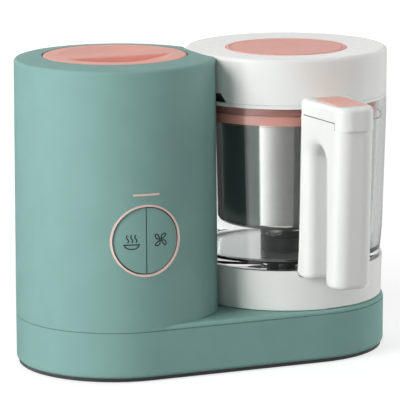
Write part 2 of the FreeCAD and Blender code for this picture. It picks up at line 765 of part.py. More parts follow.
def spindle_housing():
    """Bearing tower under the deck, hanging by its flange."""
    outer = BEARING_R + HOUSING_WALL
    low = bearing_low_z()
    tower = turned([(BEARING_R + FIT, low), (outer, low), (outer, SEAM_Z - WALL),
                    (HOUSING_FLANGE_R, SEAM_Z - WALL), (HOUSING_FLANGE_R, SEAM_Z), (BEARING_R + FIT, SEAM_Z)])
    return at_bowl(tower)


def spindle_bearings():
    low = bearing_low_z()
    pair = [tube(BEARING_R, SPINDLE_R + RUN, z, z + BEARING_H) for z in (low, SEAM_Z - BEARING_H)]
    return at_bowl(Part.makeCompound(pair))


def shaft_seal():
    return at_bowl(turned([(SPINDLE_R + RUN, DECK_Z), (BEARING_R, DECK_Z), (SPINDLE_R + 1, DECK_Z + SEAL_H),
                           (SPINDLE_R + RUN, DECK_Z + SEAL_H)]))


def drive_dog():
    dog = hexagon(DOG_FLATS, DOG_Z, DOG_Z + DOG_H)
    return at_bowl(dog.cut(rod(SPINDLE_R, DOG_Z - 1, DOG_Z + DOG_H / 2)))


def power_board():
    """Supply board on four posts behind the belt."""
    x0 = COLUMN_X + POWER_X
    y0 = AXIS_Y + POWER_Y - POWER_W / 2
    top = PLATE_TOP_Z + STANDOFF_H
    board = block(x0, x0 + POWER_L, y0, y0 + POWER_W, top, top + BOARD_T)
    posts = [rod(STANDOFF_R, PLATE_TOP_Z, top, x, y) for x in (x0 + STANDOFF_R, x0 + POWER_L - STANDOFF_R)
             for y in (y0 + STANDOFF_R, y0 + POWER_W - STANDOFF_R)]
    face = top + BOARD_T
    middle = y0 + POWER_W / 2
    core_x = x0 + POWER_EDGE
    relay_x = x0 + POWER_L - POWER_EDGE - RELAY_L
    core = block(core_x, core_x + CORE_L, middle - CORE_W / 2, middle + CORE_W / 2, face, face + CORE_H)
    relay = block(relay_x, relay_x + RELAY_L, middle - RELAY_W / 2, middle + RELAY_W / 2, face, face + RELAY_H)
    return fuse(board, core, relay, *posts)


# Bowl


def glass_wall(offset, z_low):
    """Outside of the glass, moved in by an offset, as (r, z) points from low to high."""
    bow = (GLASS_FOOT_R + GLASS_MID_R) / 2 + GLASS_BOW
    middle = (z_low + GLASS_MID_Z) / 2
    return [(GLASS_FOOT_R - offset, z_low),
            (bow - offset, middle, GLASS_MID_R - offset, GLASS_MID_Z),
            (LID_R - offset, LEDGE_Z)]


def glass_bowl():
    bore = SLEEVE_R + GAP
    outside = glass_wall(0, GLASS_Z)
    inside = glass_wall(GLASS_T, GLASS_FLOOR_Z)
    points = [(bore, GLASS_Z)] + outside + [(LID_R, GLASS_TOP_Z), (LEDGE_R, GLASS_TOP_Z), (LEDGE_R, LEDGE_Z)]
    (_, _), (bow, middle, mid_r, mid_z), (top_r, top_z) = inside
    foot = inside[0]
    points += [(top_r, top_z), (mid_r, mid_z), (bow, middle) + foot, (bore, GLASS_FLOOR_Z)]
    glass = turned(points)
    glass = round_edges(glass, GLASS_T / 2, ring_edge(GLASS_FOOT_R, GLASS_Z))
    return at_bowl(round_edges(glass, GLASS_T, ring_edge(GLASS_FOOT_R - GLASS_T, GLASS_FLOOR_Z)))


def bowl_space(grow):
    """The bowl and lid as one solid, for cutting the handle to them."""
    points = [(0, 0), (GLASS_FOOT_R + grow, 0)] + glass_wall(-grow, GLASS_Z)
    points += [(LID_R + grow, LID_TOP_Z), (0, LID_TOP_Z)]
    return turned(points)


def handle_pocket():
    """Room in the bowl's foot for the handle's plate, with round lower corners."""
    half = handle_half(GLASS_FOOT_R - GLASS_T) + GAP
    low_z = HANDLE_BOTTOM_Z - GAP
    pocket = block(-half, half, -HANDLE_REACH, -GLASS_FOOT_R / 2, low_z, HANDLE_TOP_Z)
    low = lambda edge: near(edge.BoundBox.ZMax, low_z) and near(edge.BoundBox.XLength, 0)
    return round_edges(pocket, GRIP_EDGE, low)


def bowl_base():
    ledge = GLASS_Z - GASKET_T
    inner = GLASS_FOOT_R + FIT
    web = ledge - FOOT_RING_WALL
    low = DECK_Z + GAP
    ring = turned([(FOOT_RING_R - FOOT_RING_WALL, low), (FOOT_RING_R, low), (FOOT_RING_TOP_R, FOOT_RING_TOP_Z),
                   (inner, FOOT_RING_TOP_Z), (inner, ledge), (BEARING_NUT_R + GAP, ledge),
                   (BEARING_NUT_R + GAP, web), (FOOT_RING_R - FOOT_RING_WALL, web)])
    ring = round_edges(ring, FOOT_RING_WALL / 3, ring_edge(FOOT_RING_R, low))
    return at_bowl(ring.cut(handle_pocket()))


def bowl_gasket():
    outer = GLASS_FOOT_R - GLASS_T / 2
    return at_bowl(tube(outer, outer - GASKET_W, GLASS_Z - GASKET_T, GLASS_Z))


def rim_ring():
    """White ring on the glass rim, with the lug that carries the handle."""
    inner = LID_R - RIM_RING_W
    top = RIM_RING_Z + RIM_RING_T
    ring = tube(LID_R, inner, RIM_RING_Z, top)
    lug = block(-LUG_W / 2, LUG_W / 2, -LID_R - LUG_L, -LID_R + RIM_RING_W / 2, HANDLE_SEAM_Z + FIT, LUG_TOP_Z)
    lug = lug.cut(rod(LID_R + FIT, 0, RIM_RING_Z)).cut(rod(inner, 0, top))
    holes = [rod(SCREW_R + FIT, HANDLE_SEAM_Z, top, x, handle_screw_y())
             for x in (-HANDLE_SCREW_X, HANDLE_SCREW_X)]
    return at_bowl(cut(fuse(ring, lug), *holes))


def bearing_housing():
    sleeve_in = BLADE_SHAFT_R + BUSH_T + FIT
    low = GLASS_Z - BEARING_NUT_H
    hub = turned([(sleeve_in, low), (SLEEVE_R, low), (SLEEVE_R, GLASS_FLOOR_Z), (HUB_R, GLASS_FLOOR_Z),
                  (HUB_R, HUB_TOP_Z), (sleeve_in, HUB_TOP_Z)])
    return at_bowl(round_edges(hub, HUB_H / 4, ring_edge(HUB_R, HUB_TOP_Z)))


def bearing_nut():
    low = GLASS_Z - BEARING_NUT_H
    nut = hexagon(BEARING_NUT_R * math.sqrt(3), low, GLASS_Z)
    return at_bowl(nut.cut(rod(SLEEVE_R + FIT, low - 1, GLASS_Z + 1)))


def blade_bush():
    return at_bowl(tube(BLADE_SHAFT_R + BUSH_T, BLADE_SHAFT_R + RUN, GLASS_Z - BEARING_NUT_H, HUB_TOP_Z))


def blade_shaft():
    return at_bowl(rod(BLADE_SHAFT_R, DOG_Z + DOG_H + GAP + WALL, blade_top_z() + BLADE_NUT_H))


def blade_low_z():
    return HUB_TOP_Z + GAP


def blade_top_z():
    return blade_low_z() + BLADE_HUB_H + 2 * BLADE_T


def blade_hub():
    return at_bowl(tube(BLADE_HUB_R, BLADE_SHAFT_R, blade_low_z(), blade_low_z() + BLADE_HUB_H))


def blade_plate(z, lift, turn):
    """A two-armed blade: a flat eye, with a bent, pointed wing each way."""
    eye = rod(BLADE_EYE_R, z, z + BLADE_T)
    half = BLADE_W / 2
    wing = Part.Face(Part.makePolygon([V(BLADE_ROOT, -half, z), V(BLADE_KNEE_LOW, -half, z),
                                       V(BLADE_REACH, BLADE_TIP_Y, z), V(BLADE_KNEE_HIGH, half, z),
                                       V(BLADE_ROOT, half, z), V(BLADE_ROOT, -half, z)]))
    wing = wing.extrude(V(0, 0, BLADE_T))
    wing.rotate(V(BLADE_ROOT, 0, z), V(0, 1, 0), -lift)
    wings = []
    for side in (0, 180):
        copy = wing.copy()
        copy.rotate(V(0, 0, 0), V(0, 0, 1), side)
        wings.append(copy)
    shape = fuse(eye, *wings).cut(rod(BLADE_SHAFT_R, z - 1, z + BLADE_REACH))
    shape.rotate(V(0, 0, 0), V(0, 0, 1), turn)
    return shape


def blades():
    low = blade_low_z() + BLADE_HUB_H
    flat = blade_plate(low, 0, BLADE_TURN)
    bent = blade_plate(low + BLADE_T, BLADE_LIFT, BLADE_TURN + BLADE_CROSS)
    return at_bowl(Part.makeCompound([flat, bent]))


def blade_nut():
    nut = hexagon(BLADE_NUT_FLATS, blade_top_z(), blade_top_z() + BLADE_NUT_H)
    return at_bowl(nut.cut(rod(BLADE_SHAFT_R, blade_top_z() - 1, blade_top_z() + BLADE_NUT_H + 1)))


def blade_dog():
    """Socket that drops over the drive dog."""
    top = DOG_Z + DOG_H + GAP
    roof = top + 2 * WALL
    cup = rod(DOG_SHELL_R, DOG_Z + GAP, roof)
    cup = cup.cut(hexagon(DOG_FLATS + 3 * GAP, DOG_Z - 1, top))
    return at_bowl(cup.cut(rod(BLADE_SHAFT_R, top + WALL, roof + 1)))


# Basket


def basket_radius(z):
    return BASKET_R + (BASKET_TOP_R - BASKET_R) * (z - BASKET_Z) / (COLLAR_TOP_Z - BASKET_Z)


def basket_seat_z():
    return COLLAR_TOP_Z - COLLAR_H / 4


def basket():
    seat = basket_seat_z()
    lip = seat + BASKET_T
    top = basket_radius(seat)
    floor = BASKET_Z + BASKET_T
    cup = turned([(0, BASKET_Z), (BASKET_R, BASKET_Z), (top, seat), (top + BASKET_LIP, seat),
                  (top + BASKET_LIP, lip), (top - BASKET_T, lip), (BASKET_R - BASKET_T, floor), (0, floor)])
    cup = round_edges(cup, BASKET_ROUND, ring_edge(BASKET_R, BASKET_Z))
    cup = round_edges(cup, BASKET_ROUND - BASKET_T, ring_edge(BASKET_R - BASKET_T, floor))
    holes = [rod(BASKET_HOLE_R, BASKET_Z - 1, BASKET_Z + 2 * BASKET_T)]
    for ring in range(1, BASKET_HOLE_RINGS + 1):
        for step in range(6 * ring):
            turn = math.tau * step / (6 * ring)
            reach = BASKET_HOLE_STEP * ring
            holes.append(rod(BASKET_HOLE_R, BASKET_Z - 1, BASKET_Z + 2 * BASKET_T, reach * math.cos(turn),
                             reach * math.sin(turn)))
    return at_bowl(cut(cup, *holes))


def basket_collar():
    seat = basket_seat_z()
    web = seat - COLLAR_WEB_T
    inner = BASKET_TOP_R + GAP
    band = COLLAR_R - COLLAR_WALL
    ring = turned([(inner, web), (band, web), (band, COLLAR_Z), (COLLAR_R, COLLAR_Z), (COLLAR_R, COLLAR_TOP_Z),
                   (band, COLLAR_TOP_Z), (band, seat), (inner, seat)])
    ring = round_edges(ring, COLLAR_WALL / 3, ring_edge(COLLAR_R, COLLAR_TOP_Z))
    reach = LEDGE_R - GAP
    half = COLLAR_LUG_W / 2
    lugs = []
    for step in range(COLLAR_LUGS):
        lug = block(-reach, -COLLAR_R + COLLAR_WALL / 2, -half, half, COLLAR_Z, COLLAR_Z + COLLAR_LUG_T)
        lug = lug.common(rod(reach, COLLAR_Z, COLLAR_TOP_Z))
        lug.rotate(V(0, 0, 0), V(0, 0, 1), 360 * step / COLLAR_LUGS)
        lugs.append(lug)
    return at_bowl(fuse(ring, *lugs))


# Lid


def lid_shell():
    inner = LID_R - LID_WALL
    upper = inner - LINER_STEP
    ledge = LINER_Z + LINER_T
    seat = INSERT_Z - INSERT_SEAT
    roof = seat - LID_TOP_T
    shell = turned([(0, roof), (upper, roof), (upper, ledge), (inner, ledge), (inner, LID_Z), (LID_R, LID_Z),
                    (LID_R, LID_TOP_Z), (INSERT_R + GAP, INSERT_Z), (INSERT_R + GAP, seat), (0, seat)])
    shell = round_edges(shell, LID_ROUND, ring_edge(LID_R, LID_TOP_Z))
    shell = round_edges(shell, (roof - ledge) / 4, ring_edge(upper, roof))
    notch = block(-LATCH_W / 2 - GAP, LATCH_W / 2 + GAP, -LID_R - 1, -LID_R + LATCH_BITE + 2 * GAP, LID_Z - 1,
                  LID_Z + LATCH_T + GAP)
    port = rod_x(STEAM_R + GAP, -LID_R - 1, -LID_R + 2 * LID_WALL + LINER_STEP, STEAM_Z)
    return at_bowl(cut(shell, notch, port, lid_relief()))


def lid_relief():
    """Arched relief in the lid's lower edge, on the side beside the column."""
    x = -LID_R - 1
    low = NOTCH_W / 2
    high = NOTCH_TOP_W / 2
    corners = [V(x, -low, LID_Z), V(x, low, LID_Z), V(x, high, LID_Z + NOTCH_H), V(x, -high, LID_Z + NOTCH_H)]
    face = Part.Face(Part.makePolygon(corners + corners[:1]))
    return face.extrude(V(LID_R - math.sqrt((LID_R - LID_WALL) ** 2 - low ** 2) + 2, 0, 0))


def lid_liner():
    """Inner plate that leads the steam down through its chimney into the basket."""
    outer = LID_R - LID_WALL - FIT
    skirt = COLLAR_R - LID_SEAL_W
    low = COLLAR_TOP_Z + 2 * GAP
    top = LINER_Z + LINER_T
    plate = turned([(CHIMNEY_R, low), (CHIMNEY_R + LINER_T, low), (CHIMNEY_R + LINER_T, LINER_Z),
                    (skirt - LINER_T, LINER_Z), (skirt - LINER_T, low), (skirt, low), (skirt, LINER_Z),
                    (outer, LINER_Z), (outer, top), (CHIMNEY_R, top)])
    return at_bowl(plate)


def lid_seal():
    low = COLLAR_TOP_Z + 2 * GAP
    return at_bowl(tube(COLLAR_R, COLLAR_R - LID_SEAL_W, low, low + LID_SEAL_H))


def lid_insert():
    low = INSERT_Z - INSERT_SEAT
    top = INSERT_Z + INSERT_PROUD
    rim = INSERT_R - INSERT_RIM_W
    dish = top - INSERT_DISH
    sphere = (rim ** 2 + INSERT_DISH ** 2) / (2 * INSERT_DISH)
    halfway = dish + sphere - math.sqrt(sphere ** 2 - rim ** 2 / 4)
    disc = turned([(0, low), (INSERT_R, low), (INSERT_R, top), (rim, top), (rim / 2, halfway, 0, dish)])
    return at_bowl(round_edges(disc, INSERT_EDGE, ring_edge(INSERT_R, top)))


# Handle


def handle_half(reach):
    """Half the handle's width, at a reach from the bowl's axis."""
    taper = (HANDLE_BACK_W - HANDLE_W) / (HANDLE_REACH - LID_R)
    return (HANDLE_W + taper * (HANDLE_REACH - reach)) / 2


def handle_prism(inset, z0, z1, reach):
    """The handle's tapered plan from inside the bowl to its front, with round front corners."""
    start = GLASS_FOOT_R / 2
    back = handle_half(start) - inset
    front = handle_half(reach) - inset
    corners = [V(-back, -start, z0), V(-front, -reach, z0), V(front, -reach, z0), V(back, -start, z0)]
    prism = Part.Face(Part.makePolygon(corners + corners[:1])).extrude(V(0, 0, z1 - z0))
    ends = lambda edge: near(edge.BoundBox.YMax, -reach) and near(edge.BoundBox.ZLength, z1 - z0)
    return round_edges(prism, HANDLE_ROUND - inset, ends)


def grip_prism():
    """The body's plan, with a front that leans in towards the bottom."""
    reach = HANDLE_REACH - GRIP_SET
    start = GLASS_FOOT_R / 2
    back = handle_half(start)
    front = handle_half(reach)
    low = HANDLE_BOTTOM_Z
    corners = [V(-back, -start, low), V(-front, -reach, low), V(front, -reach, low), V(back, -start, low)]
    prism = Part.Face(Part.makePolygon(corners + corners[:1])).extrude(V(0, 0, HANDLE_SEAM_Z - low))
    lean = [V(-back, GRIP_LEAN - reach, low), V(-back, -reach, HANDLE_SEAM_Z)]
    lean += [V(-back, -reach - 1, HANDLE_SEAM_Z), V(-back, -reach - 1, low)]
    prism = prism.cut(Part.Face(Part.makePolygon(lean + lean[:1])).extrude(V(2 * back, 0, 0)))
    ends = lambda edge: near(edge.BoundBox.YMin, -reach) and near(edge.BoundBox.ZLength, HANDLE_SEAM_Z - low)
    return round_edges(prism, HANDLE_ROUND, ends)


def finger_slot():
    """Space for the fingers: open below, with a round arch above."""
    radius = FINGER_GAP / 2
    spring_z = ARCH_TOP_Z - radius
    mid = -(FINGER_IN + FINGER_OUT) / 2
    low = HANDLE_BOTTOM_Z - WALL
    out_low = V(-HANDLE_BACK_W, -FINGER_OUT, low)
    out_high = V(-HANDLE_BACK_W, -FINGER_OUT, spring_z)
    in_high = V(-HANDLE_BACK_W, -FINGER_IN, spring_z)
    in_low = V(-HANDLE_BACK_W, -FINGER_IN, low)
    arch = Part.Arc(out_high, V(-HANDLE_BACK_W, mid, ARCH_TOP_Z), in_high).toShape()
    out_side = Part.makeLine(out_low, out_high)
    in_side = Part.makeLine(in_high, in_low)
    wire = Part.Wire([out_side, arch, in_side, Part.makeLine(in_low, out_low)])
    return Part.Face(wire).extrude(V(2 * HANDLE_BACK_W, 0, 0))


def handle_screw_y():
    return -LID_R - LUG_L / 2


def handle_body():
    body = grip_prism().cut(finger_slot())

    def slot_side(edge):
        box = edge.BoundBox
        on_side = box.XLength < HANDLE_W / 2 and box.ZLength > WALL
        in_slot = box.YMin > -FINGER_OUT - FIT and box.YMax < -FINGER_IN + FIT
        return on_side and in_slot
    body = round_edges(body, HANDLE_EDGE, slot_side)
    body = round_edges(body, GRIP_EDGE, level_edge(HANDLE_BOTTOM_Z))
    body = round_edges(body, SEAM_EDGE, level_edge(HANDLE_SEAM_Z))
    skirt_z = HANDLE_SEAM_Z - SKIRT_H - FIT
    skirt_y = -HANDLE_REACH + SKIRT_D + FIT
    skirt = block(-HANDLE_BACK_W, HANDLE_BACK_W, -HANDLE_REACH - 1, skirt_y, skirt_z, HANDLE_SEAM_Z + 1)
    holes = [rod(SCREW_R, HANDLE_SEAM_Z - BOSS_H, HANDLE_SEAM_Z + 1, x, handle_screw_y())
             for x in (-HANDLE_SCREW_X, HANDLE_SCREW_X)]
    return at_bowl(cut(body, bowl_space(FIT), skirt, *holes))


def pad_span():
    near_end = -LID_R - HANDLE_LID_GAP - PAD_INSET
    return near_end - PAD_L, near_end


def handle_cap():
    top = handle_prism(0, HANDLE_SEAM_Z + FIT, HANDLE_TOP_Z, HANDLE_REACH)
    top = round_edges(top, CAP_EDGE, level_edge(HANDLE_TOP_Z))
    skirt = handle_prism(0, HANDLE_SEAM_Z - SKIRT_H, HANDLE_SEAM_Z + WALL, HANDLE_REACH)
    front = block(-HANDLE_W, HANDLE_W, -HANDLE_REACH - 1, -HANDLE_REACH + SKIRT_D, 0, HANDLE_TOP_Z)
    skirt = skirt.common(front)
    room = handle_prism(CAP_WALL, HANDLE_SEAM_Z - 1, HANDLE_TOP_Z - CAP_WALL, HANDLE_REACH - SKIRT_D)
    back = rod(LID_R + HANDLE_LID_GAP + CAP_WALL, 0, HANDLE_TOP_Z)
    y0, y1 = pad_span()
    half = PAD_W / 2 + GAP
    opening = block(-half, half, y0 - GAP, y1 + GAP, HANDLE_TOP_Z - 2 * CAP_WALL, HANDLE_TOP_Z + 1)
    lug = block(-LUG_W / 2 - GAP, LUG_W / 2 + GAP, -LID_R - LUG_L, 0, 0, LUG_TOP_Z + FIT)
    lug = lug.common(rod(LID_R + 2 * CAP_WALL, 0, HANDLE_TOP_Z))
    window = block(-LATCH_W / 2 - GAP, LATCH_W / 2 + GAP, -LID_R - 3 * CAP_WALL, 0, LID_Z - GAP,
                   LID_Z + LATCH_T + GAP)
    shape = fuse(top, skirt).cut(room.cut(back))
    return at_bowl(cut(shape, rod(LID_R + HANDLE_LID_GAP, 0, HANDLE_TOP_Z + 1), opening, lug, window))


def release_button():
    y0, y1 = pad_span()
    half = PAD_W / 2
    top = HANDLE_TOP_Z + PAD_PROUD
    pad = block(-half, half, y0, y1, top - PAD_T, top)
    pad = round_edges(pad, PAD_ROUND, lambda edge: near(edge.BoundBox.ZLength, PAD_T))
    pad = round_edges(pad, PAD_PROUD, level_edge(top))
    guide = rod(SPRING_R + SPRING_WALL, HANDLE_SEAM_Z + PAD_TRAVEL + GAP, top - PAD_T + FIT, 0, spring_y())
    pocket = rod(SPRING_R + FIT, HANDLE_SEAM_Z, top - SPRING_POCKET, 0, spring_y())
    return at_bowl(fuse(pad, guide).cut(pocket))


def spring_y():
    y0, y1 = pad_span()
    return y0 + (y1 - y0) / 4


def release_spring():
    top = HANDLE_TOP_Z + PAD_PROUD - SPRING_POCKET
    return at_bowl(tube(SPRING_R, SPRING_R - SPRING_WALL, HANDLE_SEAM_Z, top).translated(V(0, spring_y(), 0)))


def lid_latch():
    tip = -LID_R + LATCH_BITE
    bolt = block(-LATCH_W / 2, LATCH_W / 2, tip - LATCH_L, tip, LID_Z, LID_Z + LATCH_T)
    nose = lambda edge: near(edge.BoundBox.YMin, tip) and near(edge.BoundBox.ZLength, LATCH_T)
    return at_bowl(round_edges(bolt, LATCH_BITE, nose))


def handle_screws():
    head_top = LUG_TOP_Z + SCREW_HEAD_H
    screws = [fuse(rod(SCREW_R, HANDLE_SEAM_Z - BOSS_H + GAP, LUG_TOP_Z, x, handle_screw_y()),
                   rod(SCREW_HEAD_R, LUG_TOP_Z, head_top, x, handle_screw_y()))
              for x in (-HANDLE_SCREW_X, HANDLE_SCREW_X)]
    return at_bowl(Part.makeCompound(screws))


NODES = {
    "base_shell": base_shell, "bottom_plate": bottom_plate, "feet": feet, "base_screws": base_screws,
    "cord_gland": cord_gland, "body_shell": body_shell, "control_ring": control_ring,
    "indicator_bar": indicator_bar, "control_board": control_board, "tact_switches": tact_switches,
    "steam_button": lambda: button(-1), "blend_button": lambda: button(1),
    "water_tank": water_tank, "heater_plate": heater_plate, "heater_element": heater_element,
    "thermostats": thermostats, "steam_tube": steam_tube, "steam_outlet": steam_outlet,
    "reservoir_cap": reservoir_cap, "cap_plug": cap_plug, "cap_seal": cap_seal,
    "motor_can": motor_can, "motor_bushes": motor_bushes, "motor_shaft": motor_shaft,
    "motor_armature": motor_armature, "motor_mount": motor_mount, "motor_dampers": motor_dampers,
    "motor_pulley": motor_pulley, "drive_belt": drive_belt, "spindle_pulley": spindle_pulley,
    "drive_spindle": drive_spindle, "spindle_housing": spindle_housing, "spindle_bearings": spindle_bearings,
    "shaft_seal": shaft_seal, "drive_dog": drive_dog, "power_board": power_board,
    "glass_bowl": glass_bowl, "bowl_base": bowl_base, "bowl_gasket": bowl_gasket, "rim_ring": rim_ring,
    "bearing_housing": bearing_housing, "bearing_nut": bearing_nut, "blade_bush": blade_bush,
    "blade_shaft": blade_shaft, "blade_hub": blade_hub, "blades": blades, "blade_nut": blade_nut,
    "blade_dog": blade_dog, "basket": basket, "basket_collar": basket_collar,
    "lid_shell": lid_shell, "lid_liner": lid_liner, "lid_seal": lid_seal, "lid_insert": lid_insert,
    "handle_body": handle_body, "handle_cap": handle_cap, "release_button": release_button,
    "release_spring": release_spring, "lid_latch": lid_latch, "handle_screws": handle_screws,
}

os.makedirs("parts", exist_ok=True)
for name, make in NODES.items():
    shape = make()
    solids = shape.Solids
    if not solids or not all(solid.isValid() for solid in solids):
        raise ValueError("bad solid: " + name)
    shape.exportStep("parts/" + name + ".step")
    box = shape.BoundBox
    sizes = (name, len(solids), shape.Volume, box.ZMin, box.ZMax)
    print("%-18s %2d solids %9.0f mm3  z %6.1f to %6.1f" % sizes)
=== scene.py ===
import math

import bmesh
import bpy
from mathutils import Matrix, Vector


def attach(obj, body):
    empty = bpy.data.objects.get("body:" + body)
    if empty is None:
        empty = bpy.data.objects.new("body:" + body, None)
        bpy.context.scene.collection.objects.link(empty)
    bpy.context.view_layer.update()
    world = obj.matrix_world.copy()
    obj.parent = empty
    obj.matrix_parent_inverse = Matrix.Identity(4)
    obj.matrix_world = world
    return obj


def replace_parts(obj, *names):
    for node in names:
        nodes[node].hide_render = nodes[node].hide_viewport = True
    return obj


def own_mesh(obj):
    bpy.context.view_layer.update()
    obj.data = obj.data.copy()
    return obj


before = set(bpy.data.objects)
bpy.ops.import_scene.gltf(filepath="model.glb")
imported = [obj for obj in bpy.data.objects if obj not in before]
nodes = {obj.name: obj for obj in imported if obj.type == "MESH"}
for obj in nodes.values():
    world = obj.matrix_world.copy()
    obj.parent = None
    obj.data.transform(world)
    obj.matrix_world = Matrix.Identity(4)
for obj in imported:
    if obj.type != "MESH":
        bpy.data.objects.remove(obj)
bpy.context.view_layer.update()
scene = bpy.context.scene
scene.view_settings.view_transform = "Standard"

MM = 0.001
COLUMN = Vector((-72.9, 29.3, 0.0))      # axis of the steam column, mm
BOWL = Vector((72.5, 29.3, 0.0))         # axis of the bowl, mm
COLUMN_R = 80.0
COLUMN_TOP_R = 78.7
DECK_Z = 43.2
COLUMN_TOP_Z = 244.2
CONTROL_Z = 111.3
CONTROL_TURN = math.radians(-3.0)
BUTTON_SINK = 1.0
BASE_END_R = 79.0
INK_LIFT = 0.05
SIGN_LINE = 1.0
SIGN_OUT = 11.6                          # middle of a sign, off the middle of the control
CREASE = 30.0                            # angle from which an edge shows sharp, degrees
QUAD = ((-1, -1), (1, -1), (1, 1), (-1, 1))
WHITE_LIGHT = (1.0, 1.0, 1.0, 1.0)


# Materials

def linear(*srgb):
    """Linear colour of 0 to 255 screen values."""
    def one(value):
        part = value / 255
        return part / 12.92 if part <= 0.04045 else ((part + 0.055) / 1.055) ** 2.4
    return tuple(one(value) for value in srgb) + (1.0,)


def shade(colour, factor):
    return tuple(min(1.0, part * factor) for part in colour[:3]) + (1.0,)


NOISE_LOW, NOISE_HIGH = 0.3, 0.7         # span that most of a noise lies in
RAMP_LOW, RAMP_HIGH = 0.32, 0.68
TINT_SCALE, GLOSS_SCALE, GLOSS_DETAIL = 45.0, 160.0, 4.0
PLASTIC_GRAIN, BRUSH_DEPTH, GLASS_WAVE = 0.00006, 0.00003, 0.0004


class Look:
    """A Principled material with colour, roughness and relief from noise in the object's space."""

    def __init__(self, name):
        self.material = bpy.data.materials.new(name)
        self.material.use_nodes = True
        self.tree = self.material.node_tree
        self.shader = self.tree.nodes["Principled BSDF"]
        self.place = self.add("ShaderNodeTexCoord").outputs["Object"]

    def add(self, kind, **settings):
        node = self.tree.nodes.new(kind)
        for key, value in settings.items():
            setattr(node, key, value)
        return node

    def join(self, source, target):
        self.tree.links.new(source, target)

    def stretched(self, scale):
        mapping = self.add("ShaderNodeMapping")
        mapping.inputs["Scale"].default_value = scale
        self.join(self.place, mapping.inputs["Vector"])
        return mapping.outputs["Vector"]

    def noise(self, scale, detail=3.0, stretch=None):
        node = self.add("ShaderNodeTexNoise")
        node.inputs["Scale"].default_value = scale
        node.inputs["Detail"].default_value = detail
        self.join(self.stretched(stretch) if stretch else self.place, node.inputs["Vector"])
        return node.outputs["Fac"]

    def ramp(self, fac, stops):
        node = self.add("ShaderNodeValToRGB")
        points = node.color_ramp.elements
        while len(points) < len(stops):
            points.new(0.5)
        for point, (at, colour) in zip(points, stops):
            point.position = at
            point.color = colour
        self.join(fac, node.inputs["Fac"])
        return node.outputs["Color"]

    def spread(self, fac, low, high):
        node = self.add("ShaderNodeMapRange")
        node.inputs["From Min"].default_value = NOISE_LOW
        node.inputs["From Max"].default_value = NOISE_HIGH
        node.inputs["To Min"].default_value = low
        node.inputs["To Max"].default_value = high
        self.join(fac, node.inputs["Value"])
        return node.outputs["Result"]

    def colour(self, fac, colour, vary):
        stops = [(RAMP_LOW, shade(colour, 1 - vary)), (RAMP_HIGH, shade(colour, 1 + vary))]
        self.join(self.ramp(fac, stops), self.shader.inputs["Base Color"])

    def rough(self, fac, low, high):
        self.join(self.spread(fac, low, high), self.shader.inputs["Roughness"])

    def relief(self, fac, strength, depth):
        node = self.add("ShaderNodeBump")
        node.inputs["Strength"].default_value = strength
        node.inputs["Distance"].default_value = depth
        self.join(fac, node.inputs["Height"])
        self.join(node.outputs["Normal"], self.shader.inputs["Normal"])

    def set(self, **sockets):
        for key, value in sockets.items():
            self.shader.inputs[key.replace("_", " ")].default_value = value
        return self.material


def plastic(name, colour, low, high, grain, strength, vary=0.03, **sockets):
    look = Look(name)
    look.colour(look.noise(TINT_SCALE), colour, vary)
    look.rough(look.noise(GLOSS_SCALE, GLOSS_DETAIL), low, high)
    look.relief(look.noise(grain, 2.0), strength, PLASTIC_GRAIN)
    return look.set(**sockets)


def metal(name, colour, low, high, stretch, vary=0.05, strength=0.08, **sockets):
    look = Look(name)
    brush = look.noise(1.0, 2.0, stretch)
    look.colour(brush, colour, vary)
    look.rough(brush, low, high)
    look.relief(brush, strength, BRUSH_DEPTH)
    return look.set(Metallic=1.0, **sockets)


def spun(material):
    """Gloss drawn out up and down, across the fine rings that spinning leaves round the axis."""
    tree = material.node_tree
    around = tree.nodes.new("ShaderNodeTangent")
    around.direction_type = "RADIAL"
    around.axis = "Z"
    tree.links.new(around.outputs["Tangent"], tree.nodes["Principled BSDF"].inputs["Tangent"])
    return material


def glass():
    look = Look("clear_glass")
    look.colour(look.noise(30.0), (0.97, 0.985, 0.98, 1.0), 0.01)
    look.rough(look.noise(60.0, GLOSS_DETAIL), 0.0, 0.02)
    look.relief(look.noise(25.0, 1.0), 0.02, GLASS_WAVE)
    return look.set(Transmission_Weight=1.0, IOR=1.47)


ROUND_BRUSH = (40.0, 40.0, 2600.0)
FINE_RINGS = (8.0, 8.0, 3600.0)
LONG_BRUSH = (1800.0, 1800.0, 60.0)
CAST_GRAIN = (240.0, 240.0, 240.0)
SAGE = plastic("sage_plastic", linear(129, 167, 161), 0.54, 0.64, 2600.0, 0.20,
               Specular_IOR_Level=0.2)
SAGE_KEY = plastic("sage_key", linear(129, 169, 163), 0.34, 0.44, 3400.0, 0.12)
CORAL = plastic("coral_plastic", linear(232, 166, 153), 0.46, 0.56, 1600.0, 0.03, 0.02)
# Painted light: the collar inside the glass gets a lighter copy of the coral, to make up for the dim
# light that reaches it through the glass
CORAL_COLLAR_LIT = plastic("coral_collar_painted_light", linear(248, 172, 156), 0.30, 0.40, 1600.0, 0.03, 0.02)
CORAL_PAD = plastic("coral_pad", linear(246, 186, 172), 0.40, 0.50, 1600.0, 0.03, 0.02)
CORAL_SOFT = plastic("coral_silicone", linear(204, 132, 120), 0.42, 0.55, 1600.0, 0.08)
WHITE = plastic("white_gloss_plastic", linear(242, 243, 240), 0.16, 0.24, 1400.0, 0.02, 0.008)
# Painted shade: the lid's liner is given a mid-grey so that the notch in the lid's wall reads dark, as
# the shadow inside it
LINER_PAINTED_SHADE = plastic("liner_painted_shade", linear(104, 106, 105), 0.34, 0.46, 1800.0, 0.08)
